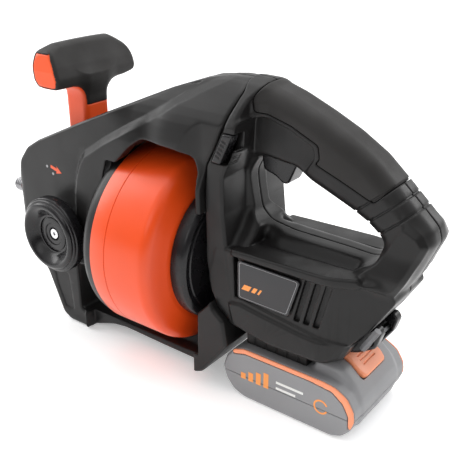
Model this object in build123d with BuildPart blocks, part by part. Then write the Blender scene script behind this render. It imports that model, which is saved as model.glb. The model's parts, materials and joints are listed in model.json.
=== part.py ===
from build123d import *
import os
from math import cos, sin, radians, atan2, degrees, hypot

os.makedirs("parts", exist_ok=True)

# Hand-held cordless drain auger with a rotating cable drum, millimetres.
# Row frame: +X towards the rear grip, -X towards the cable nose, +Z up, Y = 0 the mid plane.
# Origin: centre of the battery's bottom face, on the surface that the tool stands on.
# Profiles are drawn from the drum's own axis, which lies at (AXIS_X, 0, AXIS_Z) in the row frame.

AXIS_X = 81.0          # offset of the drawing datum along X
AXIS_Z = 91.5          # height of the drum's axis over the floor
DRUM_R = 75.0          # drum outside radius
DRUM_FRONT = -227.0    # drum shell front rim
DRUM_REAR = -170.0     # drum shell rear face
WALL = 3.0
CAGE_HW = 44.0         # half width of the drum cage
NOSE_HW = 38.0         # half width of the nose and of the rear housing
HANDLE_HW = 17.0       # half width of the D grip
CABLE_R = 3.3          # drain cable radius
TRIGGER_TRAVEL = 6.0
PLUNGER_TRAVEL = 8.0
SELECTOR_TRAVEL = 3.0
BUTTON_TRAVEL = 2.5
RUN_FIT = 0.05         # radial running clearance


def side(y=0.0):
    """Side-view plane at y: local x is X, local y is Z, both from the drum axis; extrudes to -Y."""
    return Plane(origin=(AXIS_X, y, AXIS_Z), x_dir=(1, 0, 0), z_dir=(0, -1, 0))


def xsec(x):
    """Cross-section plane at x: local x is Y, local y is Z; extrudes to +X."""
    return Plane(origin=(AXIS_X + x, 0, AXIS_Z), x_dir=(0, 1, 0), z_dir=(1, 0, 0))


def plan(z):
    """Plan-view plane at z: local x is X, local y is Y; extrudes to +Z."""
    return Plane(origin=(AXIS_X, 0, AXIS_Z + z), x_dir=(1, 0, 0), z_dir=(0, 0, 1))


DRUM_AXIS = Axis((AXIS_X, 0, AXIS_Z), (1, 0, 0))


def save(builder, label):
    builder.part.label = label
    export_step(builder.part, f"parts/{label}.step")


# ---------------------------------------------------------------- profiles
SEAM = [(-112, 132.4), (-119, 122), (-132, 107), (-142, 91), (-148, 80), (-150, 62), (-149.5, 33),
        (-149.5, 10), (-145, -12), (-139, -24), (-130, -31)]

FRAME_OUT = [(-348, -12), (-348, 28), (-343, 44), (-333, 56), (-318, 65), (-272, 86), (-229, 105),
             (-190, 122.5), (-168, 130), (-150, 133.4)] + SEAM + [
             (-127, -50), (-140, -68), (-150, -80.5), (-156, -83.5), (-200, -83), (-240, -82), (-254, -84),
             (-266, -88), (-276, -91.5), (-299, -91.5), (-307, -87), (-322, -52), (-334, -36)]

NOSE_RECESS = [(-360, -120), (-276, -120), (-276, 14.5), (-271.5, 46), (-263, 66), (-205, 99.5), (-216, 125),
               (-360, 125)]

CHAMBER = [(-284, -76.5), (-284, -28), (-262, -20), (-262, 64), (-246, 79.5), (-156.5, 79.5), (-152.5, 72),
           (-152.5, -30), (-157, -38), (-157, -76.5)]

WINDOW = [(-204, 87.5), (-214, 79.5), (-228, 65), (-239, 51), (-250, 38), (-259, 22), (-266, -2), (-266, -16),
          (-262, -26), (-284, -32), (-284, -76.5), (-172, -76.5), (-160, -70), (-156.5, -60), (-156.5, -35),
          (-143, -21), (-140, -10), (-140, 40), (-156, 47), (-155, 56), (-153, 73), (-158, 84), (-171, 87)]

NOSE_BAY = [(-328, -12), (-328, 53.2), (-316, 60), (-274, 79.5), (-266, 82), (-266, -12)]
NOSE_TIP_BAY = [(-343, -12), (-343, 27), (-338.5, 42), (-327, 53.6), (-327, -12)]

BEAM_BAY = [(-256, 84), (-228, 99), (-190, 116.5), (-160, 127), (-124, 128), (-136, 110), (-147, 92), (-152, 90),
            (-210, 91)]

GRIP_OUT = [(-119, 133), (-101, 127.5), (-78.5, 119), (-57, 110), (-36, 99), (-20, 86), (-4.6, 72.5), (7, 61.5),
            (9, 52), (-3, 27), (-10, 18), (-26, 16), (-130, 16), (-149, 30), (-149, 80), (-136, 104)]
GRIP_IN = [(-126, 68), (-119.5, 42), (-115, 35.5), (-100, 33), (-60, 32.5), (-40, 31), (-33, 37), (-31.5, 43),
           (-36, 48), (-44, 55), (-54, 61), (-69, 68.5), (-84, 75), (-94, 81.5), (-124, 84)]
OVERMOLD = [(-106, 135), (-116, 117), (-96, 111), (-77, 102), (-76, 92), (-58, 82), (-36, 72), (-14, 92),
            (-40, 125), (-90, 145)]

BODY_OUT = [(-149, -16), (-141, 24), (-23, 24), (-13, 14), (-28, -11), (-43, -27), (-51, -38), (-94, -39.5),
            (-128, -34)]
BODY_BAY = [(-126.4, -30), (-126.4, 20.5), (-52, 20.5), (-52, -34), (-94, -36)]
BODY_BAY_REAR = [(-53, -33), (-53, 20.5), (-25, 20.5), (-19, 12.5), (-31, -10), (-45, -24)]
GEAR_BAY = [(-145.3, -10), (-145.3, 60), (-143.5, 78), (-136, 91), (-127, 103), (-119, 112), (-112, 116),
            (-102, 118), (-98, 106), (-120, 97), (-131, 80), (-131, 40), (-126.4, 20.5), (-126.4, -28), (-137, -22)]

TRIGGER = [(-124.5, 92), (-124.2, 84), (-122.2, 74), (-115.5, 71.5), (-106.5, 67.4), (-102, 68.6), (-96.8, 81),
           (-97.5, 93), (-103, 97.5), (-118, 97.5)]
TRIG_DIR = (sin(radians(20)), 0, cos(radians(20)))
TRIGGER_POCKET = [(-125.4, 72), (-125.2, 93), (-121.5, 105), (-98, 105), (-93.6, 98), (-95.6, 72)]

# ---------------------------------------------------------------- gear train positions (Y, Z about the drum axis)
M1, M2 = 1.0, 0.6
N_DRUM, N_IDLER_SMALL, N_IDLER_BIG, N_PINION = 40, 10, 40, 10
C1 = M1 * (N_DRUM + N_IDLER_SMALL) / 2
C2 = M2 * (N_IDLER_BIG + N_PINION) / 2
A1, A2 = 151.0, -60.0
IDLER = (C1 * cos(radians(A1)), C1 * sin(radians(A1)))
MOTOR = (IDLER[0] + C2 * cos(radians(A2)), IDLER[1] + C2 * sin(radians(A2)))
print("idler axis (y, z):", IDLER, "motor axis (y, z):", MOTOR)


def tooth(m, n):
    r = m * n / 2
    return [(r - 1.35 * m, -0.94 * m), (r, -0.62 * m), (r + m, -0.25 * m), (r + m, 0.25 * m), (r, 0.62 * m),
            (r - 1.35 * m, 0.94 * m)]


# ---------------------------------------------------------------- screw positions in the side view
FRAME_SCREWS = [(-330, 46), (-269, 74), (-300, -70), (-172, 119), (-146, -66)]
BODY_SCREWS = [(-66, 91), (-139, 62), (-46, 14), (-88, -32), (-2, 46)]

# ================================================================ FRONT FRAME (two shells, split on Y = 0)
with BuildPart() as frame_whole:
    with BuildSketch(side()):
        with BuildLine():
            Polyline(*FRAME_OUT, close=True)
        make_face()
    extrude(amount=CAGE_HW, both=True)
    chamfer(frame_whole.faces().sort_by(Axis.Y)[0].edges(), length=2.5)
    chamfer(frame_whole.faces().sort_by(Axis.Y)[-1].edges(), length=2.5)
    # nose plan rounding
    with BuildSketch(plan(-120)):
        with BuildLine():
            Polyline((-348, -16), (-348, 16))
            RadiusArc((-348, 16), (-326, NOSE_HW), 24)
            Polyline((-326, NOSE_HW), (-300, 60), (-90, 60), (-90, -60), (-300, -60), (-326, -NOSE_HW))
            RadiusArc((-326, -NOSE_HW), (-348, -16), 24)
        make_face()
    extrude(amount=280, mode=Mode.INTERSECT)
    # nose side panels, lower than the cage panels, with a slanted step between them
    for plane, sgn in ((side(-NOSE_HW), 1), (side(NOSE_HW), -1)):
        with BuildSketch(plane):
            with BuildLine():
                Polyline(*NOSE_RECESS, close=True)
            make_face()
        extrude(amount=sgn * 20, mode=Mode.SUBTRACT)
    # strap under the drum and foot are narrower than the cage
    for plane, sgn in ((side(-31), 1), (side(31), -1)):
        with BuildSketch(plane):
            with BuildLine():
                Polyline((-276, -120), (-276, -60), (-158, -60), (-158, -120), close=True)
            make_face()
        extrude(amount=sgn * 30, mode=Mode.SUBTRACT)
    # drum chamber
    with BuildSketch(side()):
        with BuildLine():
            Polyline(*CHAMBER, close=True)
        make_face()
    extrude(amount=38.5, both=True, mode=Mode.SUBTRACT)
    with BuildSketch(xsec(-262)):
        Circle(79.5)
    extrude(amount=109, mode=Mode.SUBTRACT)
    # side windows
    with BuildSketch(side()):
        with BuildLine():
            Polyline(*WINDOW, close=True)
        make_face()
    extrude(amount=60, both=True, mode=Mode.SUBTRACT)
    # nose bay and top beam bay
    with BuildSketch(side()):
        with BuildLine():
            Polyline(*NOSE_BAY, close=True)
        make_face()
    extrude(amount=34.5, both=True, mode=Mode.SUBTRACT)
    with BuildSketch(side()):
        with BuildLine():
            Polyline(*NOSE_TIP_BAY, close=True)
        make_face()
    extrude(amount=22, both=True, mode=Mode.SUBTRACT)
    with BuildSketch(side()):
        with BuildLine():
            Polyline(*BEAM_BAY, close=True)
        make_face()
    extrude(amount=35, both=True, mode=Mode.SUBTRACT)
    # front bearing boss, plunger shelf, screw bosses
    with BuildSketch(xsec(-266)):
        Circle(22)
    extrude(amount=22)
    with BuildSketch(plan(34)):
        with Locations((-298, 0)):
            Rectangle(34, 70)
    extrude(amount=4)
    with BuildSketch(side()):
        with Locations(*FRAME_SCREWS):
            Circle(4.6)
    extrude(amount=34, both=True)
    with BuildSketch(xsec(-149)):
        Circle(24)
    extrude(amount=20, mode=Mode.SUBTRACT)
    with BuildSketch(xsec(-343)):
        Circle(15.3)
    extrude(amount=6, mode=Mode.SUBTRACT)
    # leg bay and lower rear bay
    with BuildSketch(side()):
        Polygon((-320, -17), (-291, -17), (-291, -85), (-302, -85), (-316, -52), align=None)
        Polygon((-152.5, -41), (-139, -38), (-134, -50), (-147, -70), (-152.5, -74), align=None)
    extrude(amount=33, both=True, mode=Mode.SUBTRACT)
    with BuildSketch(side()):
        with Locations(FRAME_SCREWS[2], FRAME_SCREWS[4]):
            Circle(4.6)
    extrude(amount=33, both=True)
    # bores: bearing seat, cable exit, plunger stalk, plunger rod, knob spindle
    with BuildSketch(xsec(-266.5)):
        Circle(15)
    extrude(amount=23, mode=Mode.SUBTRACT)
    with BuildSketch(xsec(-350)):
        Circle(12)
    extrude(amount=12, mode=Mode.SUBTRACT)
    with BuildSketch(plan(50)):
        with Locations((-298, 0)):
            RectangleRounded(24.8, 26.8, 6)
    extrude(amount=50, mode=Mode.SUBTRACT)
    with BuildSketch(plan(33)):
        with Locations((-298, 0)):
            Rectangle(10.8, 10.8)
    extrude(amount=6, mode=Mode.SUBTRACT)
    with BuildSketch(side(-30)):
        with Locations((-290, -3)):
            Circle(6 + RUN_FIT)
    extrude(amount=12, mode=Mode.SUBTRACT)
    # screw holes and counterbores, from the right side
    with BuildSketch(side(-12)):
        with Locations(*FRAME_SCREWS):
            Circle(1.6)
    extrude(amount=-60, mode=Mode.SUBTRACT)
    with BuildSketch(side(30)):
        with Locations(*FRAME_SCREWS):
            Circle(3.6)
    extrude(amount=-20, mode=Mode.SUBTRACT)

with BuildPart() as front_frame_left:
    add(frame_whole.part)
    split(bisect_by=Plane.XZ, keep=Keep.TOP)
with BuildPart() as front_frame_right:
    add(frame_whole.part)
    split(bisect_by=Plane.XZ, keep=Keep.BOTTOM)

# ================================================================ REAR HOUSING WITH D GRIP
with BuildPart() as housing_outer:
    # gearbox block behind the seam
    with BuildSketch(side()):
        with BuildLine():
            Polyline(*SEAM, (-128, -34), (-119, -34), (-119, 100), (-112, 112), (-102, 128), close=True)
        make_face()
    extrude(amount=NOSE_HW, both=True)
    with BuildSketch(xsec(-160)):
        with BuildLine():
            Polyline((-NOSE_HW, -60), (-NOSE_HW, 96), (-30, 124), (-20, 140), (20, 140), (30, 124), (NOSE_HW, 96),
                     (NOSE_HW, -60), close=True)
        make_face()
    extrude(amount=180, mode=Mode.INTERSECT)
    with BuildSketch(plan(-60)):
        with BuildLine():
            Polyline((-160, -60), (-160, 60), (-131, NOSE_HW), (-119, 34), (-100, 18), (-100, -18), (-119, -34),
                     (-131, -NOSE_HW), close=True)
        make_face()
    extrude(amount=220, mode=Mode.INTERSECT)

with BuildPart() as grip_solid:
    with BuildSketch(side()):
        with BuildLine():
            Polyline(*GRIP_OUT, close=True)
        make_face()
        with BuildLine():
            Polyline(*GRIP_IN, close=True)
        make_face(mode=Mode.SUBTRACT)
    extrude(amount=HANDLE_HW, both=True)
    # outer rim of the grip, softened on both sides
    for f in (grip_solid.faces().sort_by(Axis.Y)[0], grip_solid.faces().sort_by(Axis.Y)[-1]):
        chamfer(f.outer_wire().edges(), length=5.0)

with BuildPart() as body_solid:
    with BuildSketch(side()):
        with BuildLine():
            Polyline(*BODY_OUT, close=True)
        make_face()
    extrude(amount=NOSE_HW, both=True)
    with BuildSketch(plan(-60)):
        with BuildLine():
            Polyline((-160, -60), (-160, 60), (-131, NOSE_HW), (-60, NOSE_HW), (-30, 30), (-12, 20), (-12, -20),
                     (-30, -30), (-60, -NOSE_HW), (-131, -NOSE_HW), close=True)
        make_face()
    extrude(amount=120, mode=Mode.INTERSECT)

with BuildPart() as seam_cutter:
    with BuildSketch(side()):
        with BuildLine():
            Polyline(*SEAM, (-128, -60), (-300, -60), (-300, 200), (-116, 200), close=True)
        make_face()
    extrude(amount=80, both=True)

with BuildPart() as frame_rear_cutter:
    with BuildSketch(side()):
        with BuildLine():
            Polyline((-139, -24), (-130, -31), (-124, -50), (-136, -70), (-170, -70), (-170, -24), close=True)
        make_face()
    extrude(amount=80, both=True)

with BuildPart() as grip_skin:
    # soft overmould on the upper half of the grip: the grip's outer 1.6 mm inside the OVERMOLD outline
    add(grip_solid.part)
    with BuildSketch(side()):
        with BuildLine():
            Polyline(*OVERMOLD, close=True)
        make_face()
    extrude(amount=40, both=True, mode=Mode.INTERSECT)
    with BuildSketch(side()):
        with BuildLine():
            Polyline((-125, 60), (-125, 128), (-101, 125.7), (-79, 117.3), (-57.7, 108.4), (-37, 97.5), (-21, 84.4),
                     (-12, 76), (-30, 60), close=True)
        make_face()
    extrude(amount=HANDLE_HW - 1.6, both=True, mode=Mode.SUBTRACT)

with BuildPart() as housing_whole:
    add(housing_outer.part)
    add(grip_solid.part)
    add(body_solid.part)
    add(seam_cutter.part, mode=Mode.SUBTRACT)
    add(frame_rear_cutter.part, mode=Mode.SUBTRACT)
    add(grip_skin.part, mode=Mode.SUBTRACT)
    # inner bays
    with BuildSketch(side()):
        with BuildLine():
            Polyline(*BODY_BAY, close=True)
        make_face()
    extrude(amount=34.5, both=True, mode=Mode.SUBTRACT)
    with BuildSketch(side()):
        with BuildLine():
            Polyline(*BODY_BAY_REAR, close=True)
        make_face()
    extrude(amount=18, both=True, mode=Mode.SUBTRACT)
    with BuildSketch(side()):
        with BuildLine():
            Polyline(*GEAR_BAY, close=True)
        make_face()
    extrude(amount=13, both=True, mode=Mode.SUBTRACT)
    with BuildSketch(side()):
        with BuildLine():
            Polyline((-145.3, -10), (-145.3, 60), (-131, 60), (-131, 40), (-126.4, 20.5), (-126.4, -28), (-137, -22),
                     close=True)
        make_face()
    extrude(amount=34.5, both=True, mode=Mode.SUBTRACT)
    # trigger pocket and switch bay in the grip
    with BuildSketch(side()):
        with BuildLine():
            Polyline(*TRIGGER_POCKET, close=True)
        make_face()
    extrude(amount=9.5, both=True, mode=Mode.SUBTRACT)
    with BuildSketch(side()):
        with BuildLine():
            Polyline((-122, 104), (-120, 120), (-102, 121), (-84, 113.5), (-84, 100), (-96, 104), close=True)
        make_face()
    extrude(amount=11, both=True, mode=Mode.SUBTRACT)
    # screw bosses, rear bearing seat
    with BuildSketch(side()):
        with Locations(*BODY_SCREWS[1:4]):
            Circle(4.4)
    extrude(amount=34, both=True)
    with BuildSketch(xsec(-152)):
        Circle(13)
    extrude(amount=8, mode=Mode.SUBTRACT)
    # room for the gears
    with BuildSketch(xsec(-143.9)):
        Circle(23)
    extrude(amount=12.9, mode=Mode.SUBTRACT)
    with BuildSketch(xsec(-143.9)):
        with Locations(IDLER):
            Circle(7.5)
    extrude(amount=10, mode=Mode.SUBTRACT)
    with BuildSketch(xsec(-136.2)):
        with Locations(IDLER):
            Circle(13.9)
    extrude(amount=6.4, mode=Mode.SUBTRACT)
    # cross-bolt hole for the direction selector
    with BuildSketch(side()):
        with BuildLine():
            Polyline((-133.9, 104.6), (-121.6, 104.6), (-131.6, 82.4), (-143.9, 82.4), close=True)
        make_face()
    extrude(amount=60, both=True, mode=Mode.SUBTRACT)
    # air slots behind the label plates, both sides
    with BuildSketch(side()):
        for x in (-69.5, -62.2, -54.9):
            Polygon((x, 18.5), (x + 4.2, 18.5), (x - 3.4, -11), (x - 7.6, -11), align=None)
    extrude(amount=60, both=True, mode=Mode.SUBTRACT)
    # label plate pockets
    for plane, sgn in ((side(-37.2), 1), (side(37.2), -1)):
        with BuildSketch(plane):
            with BuildLine():
                Polyline((-122, 18.6), (-71.5, 17.6), (-80, -11.5), (-121.6, -10.6), close=True)
            make_face()
        extrude(amount=sgn * 3, mode=Mode.SUBTRACT)
    with BuildSketch(side(-8)):
        with Locations(*BODY_SCREWS):
            Circle(1.6)
    extrude(amount=-60, mode=Mode.SUBTRACT)
    for (sx, sz), y0 in zip(BODY_SCREWS, (12, 30, 24, 30, 12)):
        with BuildSketch(side(y0)):
            with Locations((sx, sz)):
                Circle(3.6)
        extrude(amount=-40, mode=Mode.SUBTRACT)
    # grooves round the grip's rear end
    for gx, gz in ((-20.6, 85.8), (-13.2, 79.5), (-5.2, 72.4)):
        with BuildSketch(Plane(origin=(AXIS_X + gx, 0, AXIS_Z + gz), x_dir=(0, 1, 0), z_dir=(0.66, 0, -0.75))):
            Rectangle(60, 44)
            Rectangle(2 * HANDLE_HW - 2.0, 40, mode=Mode.SUBTRACT)
        extrude(amount=0.7, both=True, mode=Mode.SUBTRACT)

with BuildPart() as rear_housing_left:
    add(housing_whole.part)
    split(bisect_by=Plane.XZ, keep=Keep.TOP)
with BuildPart() as rear_housing_right:
    add(housing_whole.part)
    split(bisect_by=Plane.XZ, keep=Keep.BOTTOM)

save(front_frame_left, "front_frame_left")
save(front_frame_right, "front_frame_right")
save(rear_housing_left, "rear_housing_left")
save(rear_housing_right, "rear_housing_right")
grip_skin.part.label = "grip_overmould"
export_step(grip_skin.part, "parts/grip_overmould.step")

# ================================================================ TRIGGER GROUP
with BuildPart() as trigger:
    with BuildSketch(side()):
        with BuildLine():
            Polyline(*TRIGGER, close=True)
        make_face()
    extrude(amount=8.8, both=True)
    fillet(trigger.edges().filter_by(Axis.Y).group_by(Axis.Z)[0], radius=1.6)
save(trigger, "trigger")

with BuildPart() as trigger_switch:
    with BuildSketch(side()):
        with Locations((-106, 112.3)):
            Rectangle(22, 12.5)
    extrude(amount=8, both=True)
save(trigger_switch, "trigger_switch")

with BuildPart() as trigger_spring:
    with BuildSketch(plan(97.6)):
        with Locations((-110, 0)):
            Circle(3.4)
            Circle(2.4, mode=Mode.SUBTRACT)
    extrude(amount=8.2)
save(trigger_spring, "trigger_spring")

with BuildPart() as direction_selector:
    with BuildSketch(side()):
        with BuildLine():
            Polyline((-133.2, 104.2), (-122.4, 104.2), (-132.2, 82.8), (-143.0, 82.8), close=True)
        make_face()
    extrude(amount=39.6, both=True)
save(direction_selector, "direction_selector")

with BuildPart() as label_plates:
    for plane, sgn in ((side(-37.2), 1), (side(37.2), -1)):
        with BuildSketch(plane):
            with BuildLine():
                Polyline((-121.4, 18.1), (-71.9, 17.1), (-80.3, -11.0), (-121.1, -10.1), close=True)
            make_face()
        extrude(amount=sgn * 1.3)
save(label_plates, "label_plates")

# ================================================================ DRUM
with BuildPart() as drum_shell:
    with BuildSketch(side()):
        with BuildLine():
            Polyline((-227, 72), (-227, 74.4), (-226, DRUM_R), (-213, DRUM_R), (-212.6, 74.5), (-212.2, DRUM_R),
                     (-181, DRUM_R))
            ThreePointArc((-181, DRUM_R), (-174.4, 72.0), (-171.2, 65.5))
            Polyline((-171.2, 65.5), (-169.6, 54.5), (-169.6, 6), (-172.6, 6), (-172.6, 60), (-175, 67),
                     (-182, 72), (-227, 72))
        make_face()
    revolve(axis=DRUM_AXIS)
save(drum_shell, "drum_shell")

with BuildPart() as drum_front_cover:
    with BuildSketch(side()):
        with BuildLine():
            Polyline((-258, 5), (-258, 11), (-241, 11), (-241, 58), (-239, 69), (-234, 73.4), (-227.2, 74.2),
                     (-227.2, 71.8), (-222, 71.8), (-222, 69.6), (-233, 69.6), (-236, 67), (-238, 57), (-238, 5),
                     close=True)
        make_face()
    revolve(axis=DRUM_AXIS)
save(drum_front_cover, "drum_front_cover")

with BuildPart() as drum_hub:
    with BuildSketch(side()):
        with BuildLine():
            Polyline((-169.4, 53), (-159.5, 53), (-157, 50.5), (-156.4, 30), (-156.4, 6), (-160.4, 6), (-160.4, 49),
                     (-169.4, 49), close=True)
        make_face()
    revolve(axis=DRUM_AXIS)
save(drum_hub, "drum_hub")

with BuildPart() as drum_shaft:
    with BuildSketch(xsec(-172.8)):
        Circle(6)
    extrude(amount=37.3)
    with BuildSketch(xsec(-175.6)):
        Circle(14)
    extrude(amount=2.8)
save(drum_shaft, "drum_shaft")

with BuildPart() as cable_coil:
    with BuildSketch(side()):
        with Locations(*[(-217.5 + 7.1 * i, 60.5 + 7.1 * j) for i in range(5) for j in range(2)]):
            Circle(CABLE_R)
    revolve(axis=DRUM_AXIS)
save(cable_coil, "cable_coil")

with BuildPart() as cable_lead:
    with BuildLine():
        FilletPolyline((AXIS_X - 184, 0, AXIS_Z - 51), (AXIS_X - 196, 0, AXIS_Z - 24), (AXIS_X - 214, 0, AXIS_Z),
                       (AXIS_X - 386, 0, AXIS_Z), radius=26)
    with BuildSketch(Plane(origin=(AXIS_X - 184, 0, AXIS_Z - 51), z_dir=(-12, 0, 27))):
        Circle(CABLE_R)
    sweep()
save(cable_lead, "cable_lead")

with BuildPart() as spring_tip:
    with BuildSketch(side()):
        with BuildLine():
            Polyline((-386, 0), (-386, 5.2), (-387.4, 7.3), (-388.8, 5.4), (-390.2, 7.3), (-391.6, 5.4), (-393, 7.3),
                     (-394.4, 5.3), (-395.8, 6.8), (-397.4, 4.6), (-398, 2.5), (-398, 0), close=True)
        make_face()
    revolve(axis=DRUM_AXIS)
save(spring_tip, "spring_tip")

with BuildPart() as front_bushing:
    with BuildSketch(xsec(-262)):
        Circle(15)
        Circle(11 + RUN_FIT, mode=Mode.SUBTRACT)
    extrude(amount=18)
save(front_bushing, "front_bushing")

with BuildPart() as rear_bearing:
    with BuildSketch(xsec(-151.6)):
        Circle(13)
        Circle(6 + RUN_FIT, mode=Mode.SUBTRACT)
    extrude(amount=7.6)
save(rear_bearing, "rear_bearing")

with BuildPart() as nose_collar:
    with BuildSketch(side()):
        with BuildLine():
            Polyline((-373, 6.5), (-373, 9.5), (-370, 11.9), (-343, 11.9), (-343, 15), (-339, 15), (-339, 6.5),
                     close=True)
        make_face()
    revolve(axis=DRUM_AXIS)
save(nose_collar, "nose_collar")

# ================================================================ GEAR TRAIN AND MOTOR
with BuildPart() as drum_gear:
    with BuildSketch(xsec(-142.6)):
        Circle(M1 * N_DRUM / 2 - 1.3 * M1)
        with PolarLocations(0, N_DRUM, start_angle=A1):
            Polygon(*tooth(M1, N_DRUM), align=None)
        Circle(6, mode=Mode.SUBTRACT)
    extrude(amount=6.6)
save(drum_gear, "drum_gear")

with BuildPart() as idler_gear:
    with BuildSketch(xsec(-142.6)):
        with Locations(IDLER):
            Circle(M1 * N_IDLER_SMALL / 2 - 1.3 * M1)
            with PolarLocations(0, N_IDLER_SMALL, start_angle=A1 + 180 + 180 / N_IDLER_SMALL):
                Polygon(*tooth(M1, N_IDLER_SMALL), align=None)
    extrude(amount=7.4)
    with BuildSketch(xsec(-135.2)):
        with Locations(IDLER):
            Circle(M2 * N_IDLER_BIG / 2 - 1.3 * M2)
            with PolarLocations(0, N_IDLER_BIG, start_angle=A2):
                Polygon(*tooth(M2, N_IDLER_BIG), align=None)
    extrude(amount=4.2)
    with BuildSketch(xsec(-150)):
        with Locations(IDLER):
            Circle(2 + RUN_FIT)
    extrude(amount=30, mode=Mode.SUBTRACT)
save(idler_gear, "idler_gear")

with BuildPart() as idler_pin:
    with BuildSketch(xsec(-145.2)):
        with Locations(IDLER):
            Circle(2)
    extrude(amount=18.6)
save(idler_pin, "idler_pin")

with BuildPart() as gear_plate:
    with BuildSketch(xsec(-129.6)):
        with Locations((0, -3)):
            Rectangle(66, 38)
        with Locations(IDLER):
            Circle(2, mode=Mode.SUBTRACT)
        with Locations(MOTOR):
            Circle(5, mode=Mode.SUBTRACT)
    extrude(amount=3)
save(gear_plate, "gear_plate")

with BuildPart() as motor_can:
    with BuildSketch(xsec(-126.4)):
        with Locations(MOTOR):
            Circle(16.5)
    extrude(amount=52)
    with BuildSketch(xsec(-124.4)):
        with Locations(MOTOR):
            Circle(14)
    extrude(amount=60, mode=Mode.SUBTRACT)
    with BuildSketch(xsec(-128)):
        with Locations(MOTOR):
            Circle(1.6 + RUN_FIT)
    extrude(amount=6, mode=Mode.SUBTRACT)
save(motor_can, "motor_can")

with BuildPart() as motor_end_cap:
    with BuildSketch(xsec(-74.3)):
        with Locations(MOTOR):
            Circle(16.5)
            Circle(1.6 + RUN_FIT, mode=Mode.SUBTRACT)
    extrude(amount=4)
    with BuildSketch(xsec(-76.3)):
        with Locations(MOTOR):
            Circle(13.9)
            Circle(9, mode=Mode.SUBTRACT)
    extrude(amount=2)
save(motor_end_cap, "motor_end_cap")

with BuildPart() as motor_armature:
    with BuildSketch(xsec(-135.4)):
        with Locations(MOTOR):
            Circle(1.6)
    extrude(amount=78)
    with BuildSketch(xsec(-120)):
        with Locations(MOTOR):
            Circle(12.6)
    extrude(amount=38)
save(motor_armature, "motor_armature")

with BuildPart() as motor_pinion:
    with BuildSketch(xsec(-135.4)):
        with Locations(MOTOR):
            Circle(M2 * N_PINION / 2 - 1.3 * M2)
            with PolarLocations(0, N_PINION, start_angle=A2 + 180 + 180 / N_PINION):
                Polygon(*tooth(M2, N_PINION), align=None)
            Circle(1.6, mode=Mode.SUBTRACT)
    extrude(amount=4.8)
save(motor_pinion, "motor_pinion")

with BuildPart() as cooling_fan:
    with BuildSketch(xsec(-68)):
        with Locations(MOTOR):
            Circle(15)
            Circle(1.6, mode=Mode.SUBTRACT)
    extrude(amount=1.6)
    with BuildSketch(xsec(-66.4)):
        with Locations(MOTOR):
            with PolarLocations(9.1, 9):
                Rectangle(9, 1.2)
            Circle(5)
            Circle(1.6, mode=Mode.SUBTRACT)
    extrude(amount=7)
save(cooling_fan, "cooling_fan")

with BuildPart() as control_board:
    with BuildSketch(side(16)):
        with Locations((-92, -7)):
            Rectangle(50, 42)
    extrude(amount=-1.6)
    with BuildSketch(side(17.6)):
        with Locations((-106, -4), (-92, -4), (-78, -4)):
            Rectangle(9, 14)
        with Locations((-104, -20), (-84, -20)):
            Circle(4)
    extrude(amount=-9)
save(control_board, "control_board")

# ================================================================ FEED PLUNGER WITH T GRIP
with BuildPart() as plunger_body:
    with BuildSketch(plan(60)):
        with Locations((-298, 0)):
            RectangleRounded(24, 26, 5.6)
    extrude(amount=60)
    with BuildSketch(side()):
        Polygon((-310.4, 110), (-310.4, 130), (-304, 137.6), (-292.4, 137.6), (-286, 131), (-286, 116), (-288.5, 108.5),
                (-300, 106), align=None)
    extrude(amount=42, both=True)
    with BuildSketch(plan(32)):
        with Locations((-298, 0)):
            Rectangle(10, 10)
    extrude(amount=28)
    # fork for the feed roller
    with BuildSketch(plan(27)):
        with Locations((-298, 0)):
            Rectangle(12, 22)
    extrude(amount=6.5)
    with BuildSketch(plan(12)):
        with Locations((-298, -9.2), (-298, 9.2)):
            Rectangle(10, 3.6)
    extrude(amount=15.5)
    with BuildSketch(side()):
        with Locations((-298, 18.8)):
            Circle(2)
    extrude(amount=20, both=True, mode=Mode.SUBTRACT)

with BuildPart() as grip_cover:
    with BuildSketch(side()):
        Polygon((-313, 113), (-313, 132), (-305.5, 143), (-291, 143), (-283.2, 133.5), (-283.2, 111), (-286, 111),
                (-286, 131), (-292.4, 137.6), (-304, 137.6), (-310.4, 130), (-310.4, 113), align=None)
    extrude(amount=42, both=True)
    # rear apron down the stalk
    with BuildSketch(side()):
        Polygon((-286, 94), (-284, 94), (-283.2, 104), (-283.2, 112), (-286, 112), align=None)
    extrude(amount=13, both=True)

with BuildPart() as t_handle_core:
    add(plunger_body.part)
    add(grip_cover.part, mode=Mode.SUBTRACT)
save(t_handle_core, "t_handle_core")
save(grip_cover, "t_handle_cover")

with BuildPart() as plunger_spring:
    with BuildSketch(plan(38)):
        with Locations((-298, 0)):
            Circle(10.4)
            Circle(8.4, mode=Mode.SUBTRACT)
    extrude(amount=22)
save(plunger_spring, "plunger_spring")

with BuildPart() as feed_roller:
    with BuildSketch(side()):
        with Locations((-298, 18.8)):
            Circle(7)
            Circle(2 + RUN_FIT, mode=Mode.SUBTRACT)
    extrude(amount=6.8, both=True)
save(feed_roller, "feed_roller")

with BuildPart() as roller_pin:
    with BuildSketch(side()):
        with Locations((-298, 18.8)):
            Circle(2)
    extrude(amount=11.4, both=True)
save(roller_pin, "roller_pin")

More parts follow.
